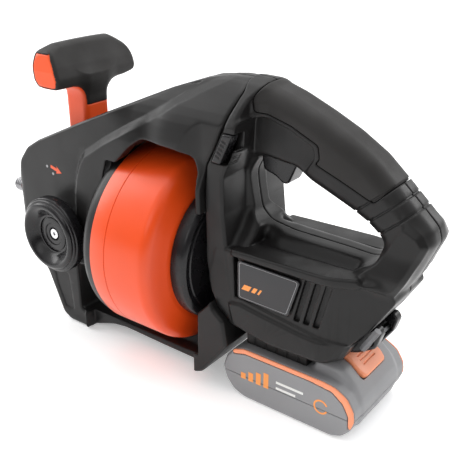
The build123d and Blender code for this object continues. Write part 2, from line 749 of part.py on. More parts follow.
# ================================================================ FEED KNOB ON THE LEFT OF THE NOSE
KNOB_AXIS = Axis((AXIS_X - 290, 0, AXIS_Z - 3), (0, -1, 0))
knob_plane = Plane(origin=(AXIS_X - 290, 0, AXIS_Z - 3), x_dir=(1, 0, 0), z_dir=(0, 0, 1))
with BuildPart() as feed_knob:
    with BuildSketch(knob_plane):
        with BuildLine():
            Polyline((6, -38.4), (13, -38.4), (13, -46.8), (28.6, -47.2), (31, -50), (31, -56.5),
                     (29.8, -57.6), (29.2, -59), (27.6, -59.8), (26.6, -61), (24.2, -61.6), (22, -60.4), (16.4, -54.6),
                     (14.6, -54), (5.2, -54), (5.2, -51), (0, -51), (0, -46.1), (6, -46.1), close=True)
        make_face()
    revolve(axis=KNOB_AXIS)
    with BuildSketch(side(-44)):
        with Locations((-290, -3)):
            Circle(1.7)
    extrude(amount=10, mode=Mode.SUBTRACT)
save(feed_knob, "feed_knob")

with BuildPart() as knob_spindle:
    with BuildSketch(side(-22)):
        with Locations((-290, -3)):
            Circle(6)
    extrude(amount=24)
    with BuildSketch(side(-22)):
        with Locations((-287.6, -3)):
            Circle(6.6)
    extrude(amount=6)
    with BuildSketch(side(-36)):
        with Locations((-290, -3)):
            Circle(1.7)
    extrude(amount=14, mode=Mode.SUBTRACT)
save(knob_spindle, "knob_spindle")

with BuildPart() as knob_screw:
    with BuildSketch(side(-36.2)):
        with Locations((-290, -3)):
            Circle(1.7)
    extrude(amount=15)
    with BuildSketch(side(-51.1)):
        with Locations((-290, -3)):
            Circle(4)
            RegularPolygon(1.6, 6, mode=Mode.SUBTRACT)
    extrude(amount=2.2)
save(knob_screw, "knob_screw")

# ================================================================ BATTERY FOOT AND PACK
RAIL_X0, RAIL_X1 = -119.0, -69.0
with BuildPart() as rail_block:
    with BuildSketch(plan(-50.4)):
        with Locations(((RAIL_X0 + RAIL_X1) / 2, 0)):
            Rectangle(RAIL_X1 - RAIL_X0, 60)
    extrude(amount=16.5)
    add(housing_whole.part, mode=Mode.SUBTRACT)
    with BuildSketch(xsec(RAIL_X0 + 3)):
        with BuildLine():
            Polyline((-20, -51), (-20, -46), (-24, -46), (-24, -41.8), (24, -41.8), (24, -46), (20, -46), (20, -51),
                     close=True)
        make_face()
    extrude(amount=60, mode=Mode.SUBTRACT)
    with BuildSketch(plan(-38.6)):
        with Locations((-94, 0)):
            Rectangle(80, 80)
    extrude(amount=10, mode=Mode.SUBTRACT)
save(rail_block, "rail_block")

with BuildPart() as contact_blades:
    with BuildSketch(plan(-44.8)):
        with Locations((-111.2, -13), (-111.2, -5), (-111.2, 5), (-111.2, 13)):
            Rectangle(9.6, 1.0)
    extrude(amount=2.2)
save(contact_blades, "contact_blades")

PACK_OUT = [(-134.7, -71), (-131.5, -81), (-125, -88.2), (-116, -91.5), (-44, -91.5), (-36, -88.5), (-30, -82),
            (-27, -74), (-27.5, -66), (-33, -54), (-42, -45), (-52, -40.6), (-63, -41), (-67.4, -50.4), (-116, -50.4),
            (-125, -53.5), (-131.5, -61)]
with BuildPart() as pack_whole:
    with BuildSketch(side()):
        with BuildLine():
            Polyline(*PACK_OUT, close=True)
        make_face()
    extrude(amount=38, both=True)
    chamfer(pack_whole.faces().sort_by(Axis.Y)[0].edges(), length=2.2)
    chamfer(pack_whole.faces().sort_by(Axis.Y)[-1].edges(), length=2.2)
    # raised rear part is narrower than the pack
    for plane, sgn in ((side(-28), 1), (side(28), -1)):
        with BuildSketch(plane):
            with BuildLine():
                Polyline((-80, -51), (-80, -30), (-20, -30), (-20, -62), (-33, -55), (-44, -51), close=True)
            make_face()
        extrude(amount=sgn * 20, mode=Mode.SUBTRACT)
    # T rail on the top deck
    with BuildSketch(xsec(-115.4)):
        with BuildLine():
            Polyline((-19.6, -50.8), (-19.6, -45.6), (-23.6, -45.6), (-23.6, -42.3), (23.6, -42.3), (23.6, -45.6),
                     (19.6, -45.6), (19.6, -50.8), close=True)
        make_face()
    extrude(amount=50)
    # slots for the contact blades
    with BuildSketch(plan(-46)):
        with Locations((-108, -13), (-108, -5), (-108, 5), (-108, 13)):
            Rectangle(17, 2.2)
    extrude(amount=6, mode=Mode.SUBTRACT)
    # cell bay
    with BuildSketch(side()):
        with Locations((-80.4, -73.2)):
            Rectangle(97, 26)
    extrude(amount=34, both=True, mode=Mode.SUBTRACT)
    # button seat on the rear slope
    with BuildSketch(Plane(origin=(AXIS_X - 41, 0, AXIS_Z - 46), x_dir=(0, 1, 0), z_dir=(0.62, 0, 0.785))):
        Rectangle(32.6, 22.6)
    extrude(amount=-5.5, mode=Mode.SUBTRACT)
    with BuildSketch(Plane(origin=(AXIS_X - 41, 0, AXIS_Z - 46), x_dir=(0, 1, 0), z_dir=(0.62, 0, 0.785))):
        Rectangle(32.6, 22.6)
    extrude(amount=8, mode=Mode.SUBTRACT)

with BuildPart() as pack_stripe_tool:
    # the coloured band lies 1.2 mm deep in each side face, just under the top edge
    for plane, sgn in ((side(-36.8), 1), (side(36.8), -1)):
        with BuildSketch(plane):
            with BuildLine():
                Polyline((-126, -52.6), (-116, -50.0), (-62, -50.0), (-42, -51.5), (-32, -60), (-27.4, -70),
                         (-27.0, -78), (-30.6, -78), (-31.2, -70), (-35.6, -62.4), (-44, -55.4), (-62, -54.2),
                         (-115, -54.2), (-124, -56.5), close=True)
            make_face()
        extrude(amount=sgn * 3)

with BuildPart() as battery_stripes:
    add(pack_whole.part)
    add(pack_stripe_tool.part, mode=Mode.INTERSECT)
save(battery_stripes, "battery_stripes")

with BuildPart() as pack_case:
    add(pack_whole.part)
    add(pack_stripe_tool.part, mode=Mode.SUBTRACT)
with BuildPart() as battery_tray:
    add(pack_case.part)
    split(bisect_by=Plane(origin=(0, 0, AXIS_Z - 73.2)), keep=Keep.BOTTOM)
with BuildPart() as battery_lid:
    add(pack_case.part)
    split(bisect_by=Plane(origin=(0, 0, AXIS_Z - 73.2)), keep=Keep.TOP)
save(battery_tray, "battery_tray")
save(battery_lid, "battery_lid")

with BuildPart() as battery_cells:
    with BuildSketch(side()):
        with Locations(*[(-80.4 + 19.0 * (i - 2), -73.2) for i in range(5)]):
            Circle(9.2)
    extrude(amount=32.5, both=True)
save(battery_cells, "battery_cells")

with BuildPart() as battery_button:
    with BuildSketch(Plane(origin=(AXIS_X - 41, 0, AXIS_Z - 46), x_dir=(0, 1, 0), z_dir=(0.62, 0, 0.785)).offset(-2.6)):
        RectangleRounded(31.8, 21.8, 3)
    extrude(amount=4.4)
    chamfer(battery_button.faces().sort_by(SortBy.AREA)[-1].edges(), length=0.8)
save(battery_button, "battery_button")

# ================================================================ HEX KEY STOWED BEHIND THE FOOT, WITH ITS CLIP
with BuildPart() as key_clip:
    with BuildSketch(side()):
        with BuildLine():
            Polyline((-44.5, -28.2), (-31.4, -12.2), (-26, -12), (-23.4, -16), (-26.6, -27), (-38, -34.4), (-44, -36.6),
                     (-49, -36.2), close=True)
        make_face()
    extrude(amount=17, both=True)
    add(housing_whole.part, mode=Mode.SUBTRACT)
    with BuildSketch(side()):
        with Locations((-30.6, -22.8)):
            Circle(2.55)
    extrude(amount=40, both=True, mode=Mode.SUBTRACT)
save(key_clip, "key_clip")

with BuildPart() as hex_key:
    with BuildSketch(side(-24)):
        with Locations((-30.6, -22.8)):
            RegularPolygon(2.5, 6)
    extrude(amount=-50)
    with BuildSketch(Plane(origin=(AXIS_X - 30.6, -26.0, AXIS_Z - 22.8), x_dir=(0, 1, 0), z_dir=(0.5, 0, 0.866))):
        RegularPolygon(2.5, 6)
    extrude(amount=19)
save(hex_key, "hex_key")

# ================================================================ FASTENERS
with BuildPart() as housing_screws:
    with BuildSketch(side(-10)):
        with Locations(*FRAME_SCREWS):
            Circle(1.55)
    extrude(amount=-41)
    with BuildSketch(side(30.1)):
        with Locations(*FRAME_SCREWS):
            Circle(3.4)
            RegularPolygon(1.4, 6, mode=Mode.SUBTRACT)
    extrude(amount=-2.4)
    for (sx, sz), y0 in zip(BODY_SCREWS, (12, 30, 24, 30, 12)):
        with BuildSketch(side(-7)):
            with Locations((sx, sz)):
                Circle(1.55)
        extrude(amount=-(7.2 + y0))
        with BuildSketch(side(y0 + 0.1)):
            with Locations((sx, sz)):
                Circle(3.4)
        extrude(amount=-2.4)
save(housing_screws, "housing_screws")
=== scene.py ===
import bpy
import json
import math
import numpy as np
from mathutils import Vector, Matrix
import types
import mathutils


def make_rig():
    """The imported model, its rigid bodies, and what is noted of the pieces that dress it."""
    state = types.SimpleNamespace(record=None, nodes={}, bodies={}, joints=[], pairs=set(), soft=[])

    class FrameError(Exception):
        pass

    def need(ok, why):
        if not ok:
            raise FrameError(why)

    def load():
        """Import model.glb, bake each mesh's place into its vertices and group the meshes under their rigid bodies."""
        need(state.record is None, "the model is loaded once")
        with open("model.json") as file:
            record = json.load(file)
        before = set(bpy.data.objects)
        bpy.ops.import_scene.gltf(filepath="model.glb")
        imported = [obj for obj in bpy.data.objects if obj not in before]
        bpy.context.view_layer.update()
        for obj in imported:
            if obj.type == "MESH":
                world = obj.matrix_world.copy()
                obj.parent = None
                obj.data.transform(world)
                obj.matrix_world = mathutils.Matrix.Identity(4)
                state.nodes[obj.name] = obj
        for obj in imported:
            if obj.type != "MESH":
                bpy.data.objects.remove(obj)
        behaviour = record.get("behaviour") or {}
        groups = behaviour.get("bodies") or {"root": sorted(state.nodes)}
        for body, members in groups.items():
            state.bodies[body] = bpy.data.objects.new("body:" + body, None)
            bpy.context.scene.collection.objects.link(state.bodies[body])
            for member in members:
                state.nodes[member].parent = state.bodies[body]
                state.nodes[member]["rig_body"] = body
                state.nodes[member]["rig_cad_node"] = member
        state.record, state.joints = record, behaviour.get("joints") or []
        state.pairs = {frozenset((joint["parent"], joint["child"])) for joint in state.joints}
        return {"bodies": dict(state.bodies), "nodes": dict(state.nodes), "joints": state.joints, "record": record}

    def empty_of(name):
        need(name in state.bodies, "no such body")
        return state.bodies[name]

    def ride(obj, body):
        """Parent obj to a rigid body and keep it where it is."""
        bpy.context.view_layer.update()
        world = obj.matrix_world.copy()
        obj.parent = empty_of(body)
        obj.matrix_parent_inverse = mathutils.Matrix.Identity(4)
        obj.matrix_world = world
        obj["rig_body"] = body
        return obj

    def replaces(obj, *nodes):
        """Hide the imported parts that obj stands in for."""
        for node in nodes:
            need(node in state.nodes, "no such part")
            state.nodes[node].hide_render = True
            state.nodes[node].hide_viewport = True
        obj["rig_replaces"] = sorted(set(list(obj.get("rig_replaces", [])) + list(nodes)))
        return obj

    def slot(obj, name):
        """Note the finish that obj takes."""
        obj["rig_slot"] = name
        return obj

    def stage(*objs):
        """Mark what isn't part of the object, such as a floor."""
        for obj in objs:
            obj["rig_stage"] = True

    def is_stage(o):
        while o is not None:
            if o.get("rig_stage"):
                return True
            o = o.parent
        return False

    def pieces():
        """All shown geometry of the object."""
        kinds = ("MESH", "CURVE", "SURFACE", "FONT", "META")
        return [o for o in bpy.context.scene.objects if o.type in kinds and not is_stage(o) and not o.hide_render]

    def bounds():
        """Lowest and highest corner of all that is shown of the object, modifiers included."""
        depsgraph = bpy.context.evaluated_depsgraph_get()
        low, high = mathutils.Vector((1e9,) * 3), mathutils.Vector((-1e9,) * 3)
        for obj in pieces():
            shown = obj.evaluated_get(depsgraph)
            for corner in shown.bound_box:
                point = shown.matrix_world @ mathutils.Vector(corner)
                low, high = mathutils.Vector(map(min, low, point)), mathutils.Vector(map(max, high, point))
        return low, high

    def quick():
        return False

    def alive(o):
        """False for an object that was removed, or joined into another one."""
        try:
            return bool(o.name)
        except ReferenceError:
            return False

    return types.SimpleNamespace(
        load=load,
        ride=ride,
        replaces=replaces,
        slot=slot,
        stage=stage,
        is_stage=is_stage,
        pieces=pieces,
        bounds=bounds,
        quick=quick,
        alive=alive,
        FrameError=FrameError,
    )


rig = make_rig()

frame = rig.load()
CAD_BOX = [[float(c) for c in p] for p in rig.bounds()]
AX, AZ = 81.0, 91.5          # drawing datum on the drum's axis, mm
F = np.float32


def M(x, y, z):
    return ((x + AX) / 1000.0, y / 1000.0, (z + AZ) / 1000.0)


# ------------------------------------------------------------------ camera
cam_data = bpy.data.cameras.new("view_camera")
cam_data.lens = 59.5
cam_data.sensor_width = 36.0
cam = bpy.data.objects.new("view_camera", cam_data)
bpy.context.scene.collection.objects.link(cam)
cam.location = (0.2302, -0.4070, 0.3375)
look = Vector((-0.0754, 0.0, 0.1087)) - cam.location
cam.rotation_euler = look.to_track_quat("-Z", "Y").to_euler()
bpy.context.scene.camera = cam
bpy.context.scene.view_settings.view_transform = "Standard"


# ------------------------------------------------------------------ materials
def srgb(r, g, b):
    out = []
    for c in (r, g, b):
        c = c / 255.0
        out.append(c / 12.92 if c <= 0.04045 else ((c + 0.055) / 1.055) ** 2.4)
    return tuple(out)


def material(name, color, rough=0.45, grain=1500.0, bump=0.25, vary=0.12, wear=0.12, rough_vary=0.08, metallic=0.0,
             spec=0.5, coat=0.0, dust=0.0, brushed=False, ior=1.5, sheen=0.0):
    m = bpy.data.materials.new(name)
    m.use_nodes = True
    nt = m.node_tree
    nt.nodes.clear()
    N, L = nt.nodes.new, nt.links.new
    out = N("ShaderNodeOutputMaterial")
    b = N("ShaderNodeBsdfPrincipled")
    L(b.outputs[0], out.inputs[0])
    b.inputs["Metallic"].default_value = metallic
    b.inputs["IOR"].default_value = ior
    b.inputs["Specular IOR Level"].default_value = spec
    b.inputs["Coat Weight"].default_value = coat
    b.inputs["Coat Roughness"].default_value = 0.12
    if sheen:
        b.inputs["Sheen Weight"].default_value = sheen
        b.inputs["Sheen Roughness"].default_value = 0.5
    tc = N("ShaderNodeTexCoord")
    # broad colour drift
    big = N("ShaderNodeTexNoise")
    big.inputs["Scale"].default_value = 22.0
    big.inputs["Detail"].default_value = 5.0
    L(tc.outputs["Object"], big.inputs["Vector"])
    ramp = N("ShaderNodeValToRGB")
    ramp.color_ramp.elements[0].position = 0.3
    ramp.color_ramp.elements[1].position = 0.72
    lo = [max(0.0, c * (1 - vary)) for c in color]
    hi = [min(1.0, c * (1 + vary) + 0.002) for c in color]
    ramp.color_ramp.elements[0].color = (*lo, 1)
    ramp.color_ramp.elements[1].color = (*hi, 1)
    L(big.outputs["Fac"], ramp.inputs["Fac"])
    # worn, slightly paler edges
    geo = N("ShaderNodeNewGeometry")
    edge = N("ShaderNodeValToRGB")
    edge.color_ramp.elements[0].position = 0.52
    edge.color_ramp.elements[1].position = 0.60
    L(geo.outputs["Pointiness"], edge.inputs["Fac"])
    speck = N("ShaderNodeTexNoise")
    speck.inputs["Scale"].default_value = 260.0
    speck.inputs["Detail"].default_value = 4.0
    L(tc.outputs["Object"], speck.inputs["Vector"])
    mul = N("ShaderNodeMath")
    mul.operation = "MULTIPLY"
    L(edge.outputs["Color"], mul.inputs[0])
    L(speck.outputs["Fac"], mul.inputs[1])
    amt = N("ShaderNodeMath")
    amt.operation = "MULTIPLY"
    amt.inputs[1].default_value = wear * 2
    L(mul.outputs[0], amt.inputs[0])
    mix = N("ShaderNodeMix")
    mix.data_type = "RGBA"
    pale = [min(1.0, c * 1.35 + 0.05) for c in color]
    mix.inputs[7].default_value = (*pale, 1)
    L(amt.outputs[0], mix.inputs[0])
    L(ramp.outputs["Color"], mix.inputs[6])
    L(mix.outputs[2], b.inputs["Base Color"])
    # roughness: smudges plus grain
    sm = N("ShaderNodeTexNoise")
    sm.inputs["Scale"].default_value = 60.0
    sm.inputs["Detail"].default_value = 6.0
    L(tc.outputs["Object"], sm.inputs["Vector"])
    mr = N("ShaderNodeMapRange")
    mr.inputs["From Min"].default_value = 0.3
    mr.inputs["From Max"].default_value = 0.7
    mr.inputs["To Min"].default_value = max(0.03, rough - rough_vary)
    mr.inputs["To Max"].default_value = min(1.0, rough + rough_vary)
    L(sm.outputs["Fac"], mr.inputs["Value"])
    L(mr.outputs["Result"], b.inputs["Roughness"])
    # moulded grain
    gr = N("ShaderNodeTexNoise")
    gr.inputs["Scale"].default_value = grain
    gr.inputs["Detail"].default_value = 3.0
    if brushed:
        mp = N("ShaderNodeMapping")
        mp.inputs["Scale"].default_value = (0.05, 1.0, 1.0)
        L(tc.outputs["Object"], mp.inputs["Vector"])
        L(mp.outputs["Vector"], gr.inputs["Vector"])
    else:
        L(tc.outputs["Object"], gr.inputs["Vector"])
    bp = N("ShaderNodeBump")
    bp.inputs["Strength"].default_value = bump
    bp.inputs["Distance"].default_value = 0.0002
    L(gr.outputs["Fac"], bp.inputs["Height"])
    L(bp.outputs["Normal"], b.inputs["Normal"])
    return m


MAT = {
    "black": material("moulded_black", srgb(25, 24, 24), rough=0.38, grain=2200, bump=0.22, wear=0.06, spec=0.27),
    "black_smooth": material("smooth_black", srgb(23, 22, 24), rough=0.26, grain=900, bump=0.06, wear=0.05, spec=0.36),
    "soft": material("soft_touch_black", srgb(31, 29, 28), rough=0.56, grain=3000, bump=0.35, wear=0.03, spec=0.3,
                     sheen=0.04),
    "orange": material("moulded_orange", srgb(233, 76, 20), rough=0.31, grain=1300, bump=0.1, vary=0.03, wear=0.0,
                       rough_vary=0.02, spec=0.45),
    "orange_soft": material("satin_orange", srgb(234, 81, 25), rough=0.40, grain=1900, bump=0.16, vary=0.04,
                            wear=0.0, spec=0.4),
    "steel": material("drawn_steel", (0.62, 0.62, 0.63), rough=0.26, grain=900, bump=0.12, metallic=1.0, wear=0.2,
                      brushed=True),
    "dark_steel": material("blackened_steel", (0.12, 0.12, 0.125), rough=0.35, grain=900, bump=0.12, metallic=1.0,
                           wear=0.3),
    "spring": material("spring_steel", (0.30, 0.30, 0.31), rough=0.3, grain=900, bump=0.12, metallic=1.0, wear=0.2),
    "brass": material("bronze_bush", (0.72, 0.47, 0.2), rough=0.3, metallic=1.0, grain=800, bump=0.1),
    "nylon": material("dark_nylon", (0.055, 0.055, 0.055), rough=0.45, grain=900, bump=0.1),
    "board": material("solder_mask", (0.02, 0.16, 0.06), rough=0.3, grain=500, bump=0.2),
    "grey": material("pack_grey", srgb(138, 138, 140), rough=0.5, grain=2000, bump=0.2, vary=0.05, wear=0.06),
    "salmon": material("pack_salmon", srgb(246, 152, 110), rough=0.4, grain=1800, bump=0.12, vary=0.04, wear=0.04),
    "label_orange": material("printed_orange", srgb(245, 150, 70), rough=0.45, grain=2500, bump=0.05, vary=0.03),
    "plate": material("label_plate_black", srgb(30, 30, 33), rough=0.34, grain=2600, bump=0.08, wear=0.05, spec=0.5),
    # silver for the printed nose dots, also used as a painted highlight: the thin ring round each label plate stands
    # for light caught on the plate's bevel
    "silver_print_and_painted_highlight": material("silver_print_and_painted_bevel_highlight", srgb(150, 150, 152), rough=0.3, grain=2500, bump=0.05, vary=0.25),
    "label_orange_deep": material("printed_deep_orange", srgb(232, 84, 34), rough=0.45, grain=2500, bump=0.05, vary=0.03),
    "label_white": material("printed_white", srgb(225, 225, 222), rough=0.45, grain=2500, bump=0.05, vary=0.03),
    "wrap": material("cell_wrap", (0.08, 0.2, 0.42), rough=0.35, grain=700, bump=0.08),
}


# ------------------------------------------------------------------ field modelling
class Grid:
    def __init__(s, x0, x1, y0, y1, z0, z1, h):
        s.h = h
        s.xs = np.arange(x0 - 2 * h, x1 + 2.5 * h, h).astype(F)
        s.ys = np.arange(y0 - 2 * h, y1 + 2.5 * h, h).astype(F)
        s.zs = np.arange(z0 - 2 * h, z1 + 2.5 * h, h).astype(F)
        s.X, s.Y, s.Z = s.xs[:, None, None], s.ys[None, :, None], s.zs[None, None, :]
        s.T = np.abs(s.Y)


def blur2(a, sig):
    r = int(max(1, math.ceil(2.6 * sig)))
    k = np.exp(-0.5 * (np.arange(-r, r + 1) / sig) ** 2)
    k = (k / k.sum()).astype(F)
    for ax in (0, 1):
        p = np.pad(a, [(r, r) if i == ax else (0, 0) for i in (0, 1)], mode="edge")
        o = np.zeros_like(a)
        n = a.shape[ax]
        for i, w in enumerate(k):
            o += w * (p[i:i + n, :] if ax == 0 else p[:, i:i + n])
        a = o
    return a


def poly(g, pts, soft=0.0, plane="xz"):
    A, B = {"xz": (g.xs, g.zs), "xy": (g.xs, g.ys), "yz": (g.ys, g.zs)}[plane]
    A, B = A[:, None], B[None, :]
    v = [(float(a), float(b)) for a, b in pts]
    d = np.full((A.shape[0], B.shape[1]), 1e12, F)
    s = np.ones_like(d)
    j = len(v) - 1
    for i in range(len(v)):
        ex, ez = v[j][0] - v[i][0], v[j][1] - v[i][1]
        wx, wz = A - v[i][0], B - v[i][1]
        t = np.clip((wx * ex + wz * ez) / (ex * ex + ez * ez), 0, 1)
        d = np.minimum(d, (wx - ex * t) ** 2 + (wz - ez * t) ** 2)
        c1, c2, c3 = wz >= 0, B < v[j][1], ex * wz > ez * wx
        s = np.where((c1 & c2 & c3) | (~c1 & ~c2 & ~c3), -s, s)
        j = i
    d = (s * np.sqrt(d)).astype(F)
    if soft:
        d = blur2(d, soft / g.h)
    return {"xz": d[:, None, :], "xy": d[:, :, None], "yz": d[None, :, :]}[plane]


def smin(a, b, k):
    return np.minimum(a, b) - np.maximum(k - np.abs(a - b), 0) ** 2 / (4 * k)


def smax(a, b, k):
    return np.maximum(a, b) + np.maximum(k - np.abs(a - b), 0) ** 2 / (4 * k)


def cham(a, b, c):
    return np.maximum(np.maximum(a, b), (a + b + c) * 0.70711)


def rext(d, e, r):
    """Intersection of two fields with a true round of radius r."""
    u, v = d + r, e + r
    return np.minimum(np.maximum(u, v), 0) + np.sqrt(np.maximum(u, 0) ** 2 + np.maximum(v, 0) ** 2) - r


def step(e0, e1, x):
    t = np.clip((x - e0) / (e1 - e0), 0, 1)
    return t * t * (3 - 2 * t)


def cyl_x(g, y, z, r):
    return (np.sqrt((g.Y - y) ** 2 + (g.Z - z) ** 2) - r).astype(F)


def cyl_y(g, x, z, r):
    return (np.sqrt((g.X - x) ** 2 + (g.Z - z) ** 2) - r).astype(F)


def nets(g, V):
    ins = V < 0
    nx, ny, nz = V.shape
    cnt = np.zeros((nx - 1, ny - 1, nz - 1), np.uint8)
    for dx in (0, 1):
        for dy in (0, 1):
            for dz in (0, 1):
                cnt += ins[dx:nx - 1 + dx, dy:ny - 1 + dy, dz:nz - 1 + dz]
    act = (cnt > 0) & (cnt < 8)
    idx = np.argwhere(act)
    ids = np.full(act.shape, -1, np.int32)
    ids[act] = np.arange(len(idx), dtype=np.int32)
    I, J, K = idx.T
    P = np.zeros((len(idx), 3), np.float64)
    C = np.zeros(len(idx))
    for ax in range(3):
        for u in (0, 1):
            for w in (0, 1):
                a = [0, 0, 0]
                o = [i for i in range(3) if i != ax]
                a[o[0]], a[o[1]] = u, w
                b = list(a)
                b[ax] = 1
                va = V[I + a[0], J + a[1], K + a[2]].astype(np.float64)
                vb = V[I + b[0], J + b[1], K + b[2]].astype(np.float64)
                m = (va < 0) != (vb < 0)
                t = np.where(m, va / np.where(m, va - vb, 1), 0)
                for q in range(3):
                    P[:, q] += m * (a[q] + (t if q == ax else 0))
                C += m
    P = P / C[:, None] + idx
    co = np.stack([g.xs[0] + P[:, 0] * g.h, g.ys[0] + P[:, 1] * g.h, g.zs[0] + P[:, 2] * g.h], 1)
    quads = []
    for ax in range(3):
        o1, o2 = (ax + 1) % 3, (ax + 2) % 3
        lo = [slice(None)] * 3
        hi = [slice(None)] * 3
        lo[ax], hi[ax] = slice(0, -1), slice(1, None)
        for o in (o1, o2):
            lo[o] = hi[o] = slice(1, -1)
        A, B = ins[tuple(lo)], ins[tuple(hi)]
        e = np.argwhere(A != B)
        up = A[tuple(e.T)]
        base = e.copy()
        base[:, o1] += 1
        base[:, o2] += 1
        corner = []
        for du, dw in ((-1, -1), (0, -1), (0, 0), (-1, 0)):
            c = base.copy()
            c[:, o1] += du
            c[:, o2] += dw
            corner.append(ids[tuple(c.T)])
        q = np.stack(corner, 1)
        q[~up] = q[~up][:, ::-1]
        quads.append(q)
    return co, np.concatenate(quads)


def mesh_obj(name, co, quads, mat, smooth=True):
    me = bpy.data.meshes.new(name)
    n, f = len(co), len(quads)
    k = quads.shape[1]
    me.vertices.add(n)
    me.loops.add(f * k)
    me.polygons.add(f)
    me.vertices.foreach_set("co", np.asarray(co, np.float32).ravel())
    me.polygons.foreach_set("loop_start", np.arange(f, dtype=np.int32) * k)
    me.loops.foreach_set("vertex_index", np.asarray(quads, np.int32).ravel())
    me.polygons.foreach_set("use_smooth", np.full(f, smooth))
    me.update(calc_edges=True)
    me.validate()
    me.materials.append(mat)
    ob = bpy.data.objects.new(name, me)
    bpy.context.scene.collection.objects.link(ob)
    return ob


def field_obj(name, g, V, mat, keep=0.3):
    V = np.broadcast_to(V, (len(g.xs), len(g.ys), len(g.zs))).astype(F)
    V = V.copy()
    for s in (0, -1):
        V[s, :, :] = np.maximum(V[s, :, :], g.h)
        V[:, s, :] = np.maximum(V[:, s, :], g.h)
        V[:, :, s] = np.maximum(V[:, :, s], g.h)
    co, q = nets(g, V)
    co = np.stack([(co[:, 0] + AX) / 1000, co[:, 1] / 1000, (co[:, 2] + AZ) / 1000], 1)
    ob = mesh_obj(name, co, q, mat)
    if keep < 1.0 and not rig.quick():
        m = ob.modifiers.new("thin", "DECIMATE")
        m.ratio = keep
        dg = bpy.context.evaluated_depsgraph_get()
        me = bpy.data.meshes.new_from_object(ob.evaluated_get(dg))
        old = ob.data
        ob.modifiers.clear()
        ob.data = me
        bpy.data.meshes.remove(old)
        me.name = name
        me.polygons.foreach_set("use_smooth", np.full(len(me.polygons), True))
    return ob


def rounded(pts, radii, n=6, closed=True):
    """Corner-rounded outline: pts [(a, b)], one radius per corner."""
    out = []
    m = len(pts)
    for i in range(m):
        p = Vector(pts[i])
        r = radii[i] if isinstance(radii, (list, tuple)) else radii
        if r <= 0 or (not closed and i in (0, m - 1)):
            out.append(tuple(p))
            continue
        a = (Vector(pts[i - 1]) - p)
        b = (Vector(pts[(i + 1) % m]) - p)
        la, lb = a.length, b.length
        a.normalize()
        b.normalize()
        ang = a.angle(b)
        t = min(r / math.tan(ang / 2), la * 0.48, lb * 0.48)
        p0, p1 = p + a * t, p + b * t
        for k in range(n + 1):
            s = k / n
            out.append(tuple(p0 * (1 - s) ** 2 + p * 2 * s * (1 - s) + p1 * s ** 2))
    return out


def lathe(name, prof, origin, axis, mat, seg=168, sharp=34):
    """Closed profile [(along, radius)] turned about axis through origin (mm, datum frame)."""
    ax = Vector(axis).normalized()
    u = ax.orthogonal().normalized()
    w = ax.cross(u)
    o = Vector(origin)
    n = len(prof)
    ang = np.arange(seg) * 2 * math.pi / seg
    A = np.array([p[0] for p in prof])
    R = np.array([p[1] for p in prof])
    co = (np.array(o)[None, None] + A[:, None, None] * np.array(ax)[None, None]
          + (R[:, None] * np.cos(ang)[None])[..., None] * np.array(u)[None, None]
          + (R[:, None] * np.sin(ang)[None])[..., None] * np.array(w)[None, None]).reshape(-1, 3)
    co = np.stack([(co[:, 0] + AX) / 1000, co[:, 1] / 1000, (co[:, 2] + AZ) / 1000], 1)
    i = np.arange(n)[:, None]
    j = np.arange(seg)[None]
    i2, j2 = (i + 1) % n, (j + 1) % seg
    q = np.stack(np.broadcast_arrays(i * seg + j, i * seg + j2, i2 * seg + j2, i2 * seg + j), -1).reshape(-1, 4)
    area = sum(prof[k][0] * prof[(k + 1) % n][1] - prof[(k + 1) % n][0] * prof[k][1] for k in range(n))
    if area < 0:
        q = q[:, ::-1]
    ob = mesh_obj(name, co, q, mat)
    ob.data.set_sharp_from_angle(angle=math.radians(sharp))
    return ob


def tube(name, path, r, mat, seg=14, caps=True):
    """Round tube along a list of points (mm, datum frame); r may be a list."""
    P = [Vector(p) for p in path]
    n = len(P)
    rr = r if isinstance(r, (list, tuple, np.ndarray)) else [r] * n
    t0 = (P[1] - P[0]).normalized()
    nrm = t0.orthogonal().normalized()
    rows = []
    for i in range(n):
        t = (P[min(i + 1, n - 1)] - P[max(i - 1, 0)]).normalized()
        nrm = (nrm - t * nrm.dot(t)).normalized()
        b = t.cross(nrm)
        for k in range(seg):
            a = 2 * math.pi * k / seg
            rows.append(P[i] + (nrm * math.cos(a) + b * math.sin(a)) * rr[i])
    quads = []
    for i in range(n - 1):
        for k in range(seg):
            k2 = (k + 1) % seg
            quads.append((i * seg + k, i * seg + k2, (i + 1) * seg + k2, (i + 1) * seg + k))
    rows.append(P[0])
    rows.append(P[-1])
    c0, c1 = len(rows) - 2, len(rows) - 1
    for k in range(0, seg, 2):
        k1, k2 = (k + 1) % seg, (k + 2) % seg
        quads.append((c0, k2, k1, k))
        b = (n - 1) * seg
        quads.append((c1, b + k, b + k1, b + k2))
    co = np.array([[(p.x + AX) / 1000, p.y / 1000, (p.z + AZ) / 1000] for p in rows])
    return mesh_obj(name, co, np.array(quads), mat)


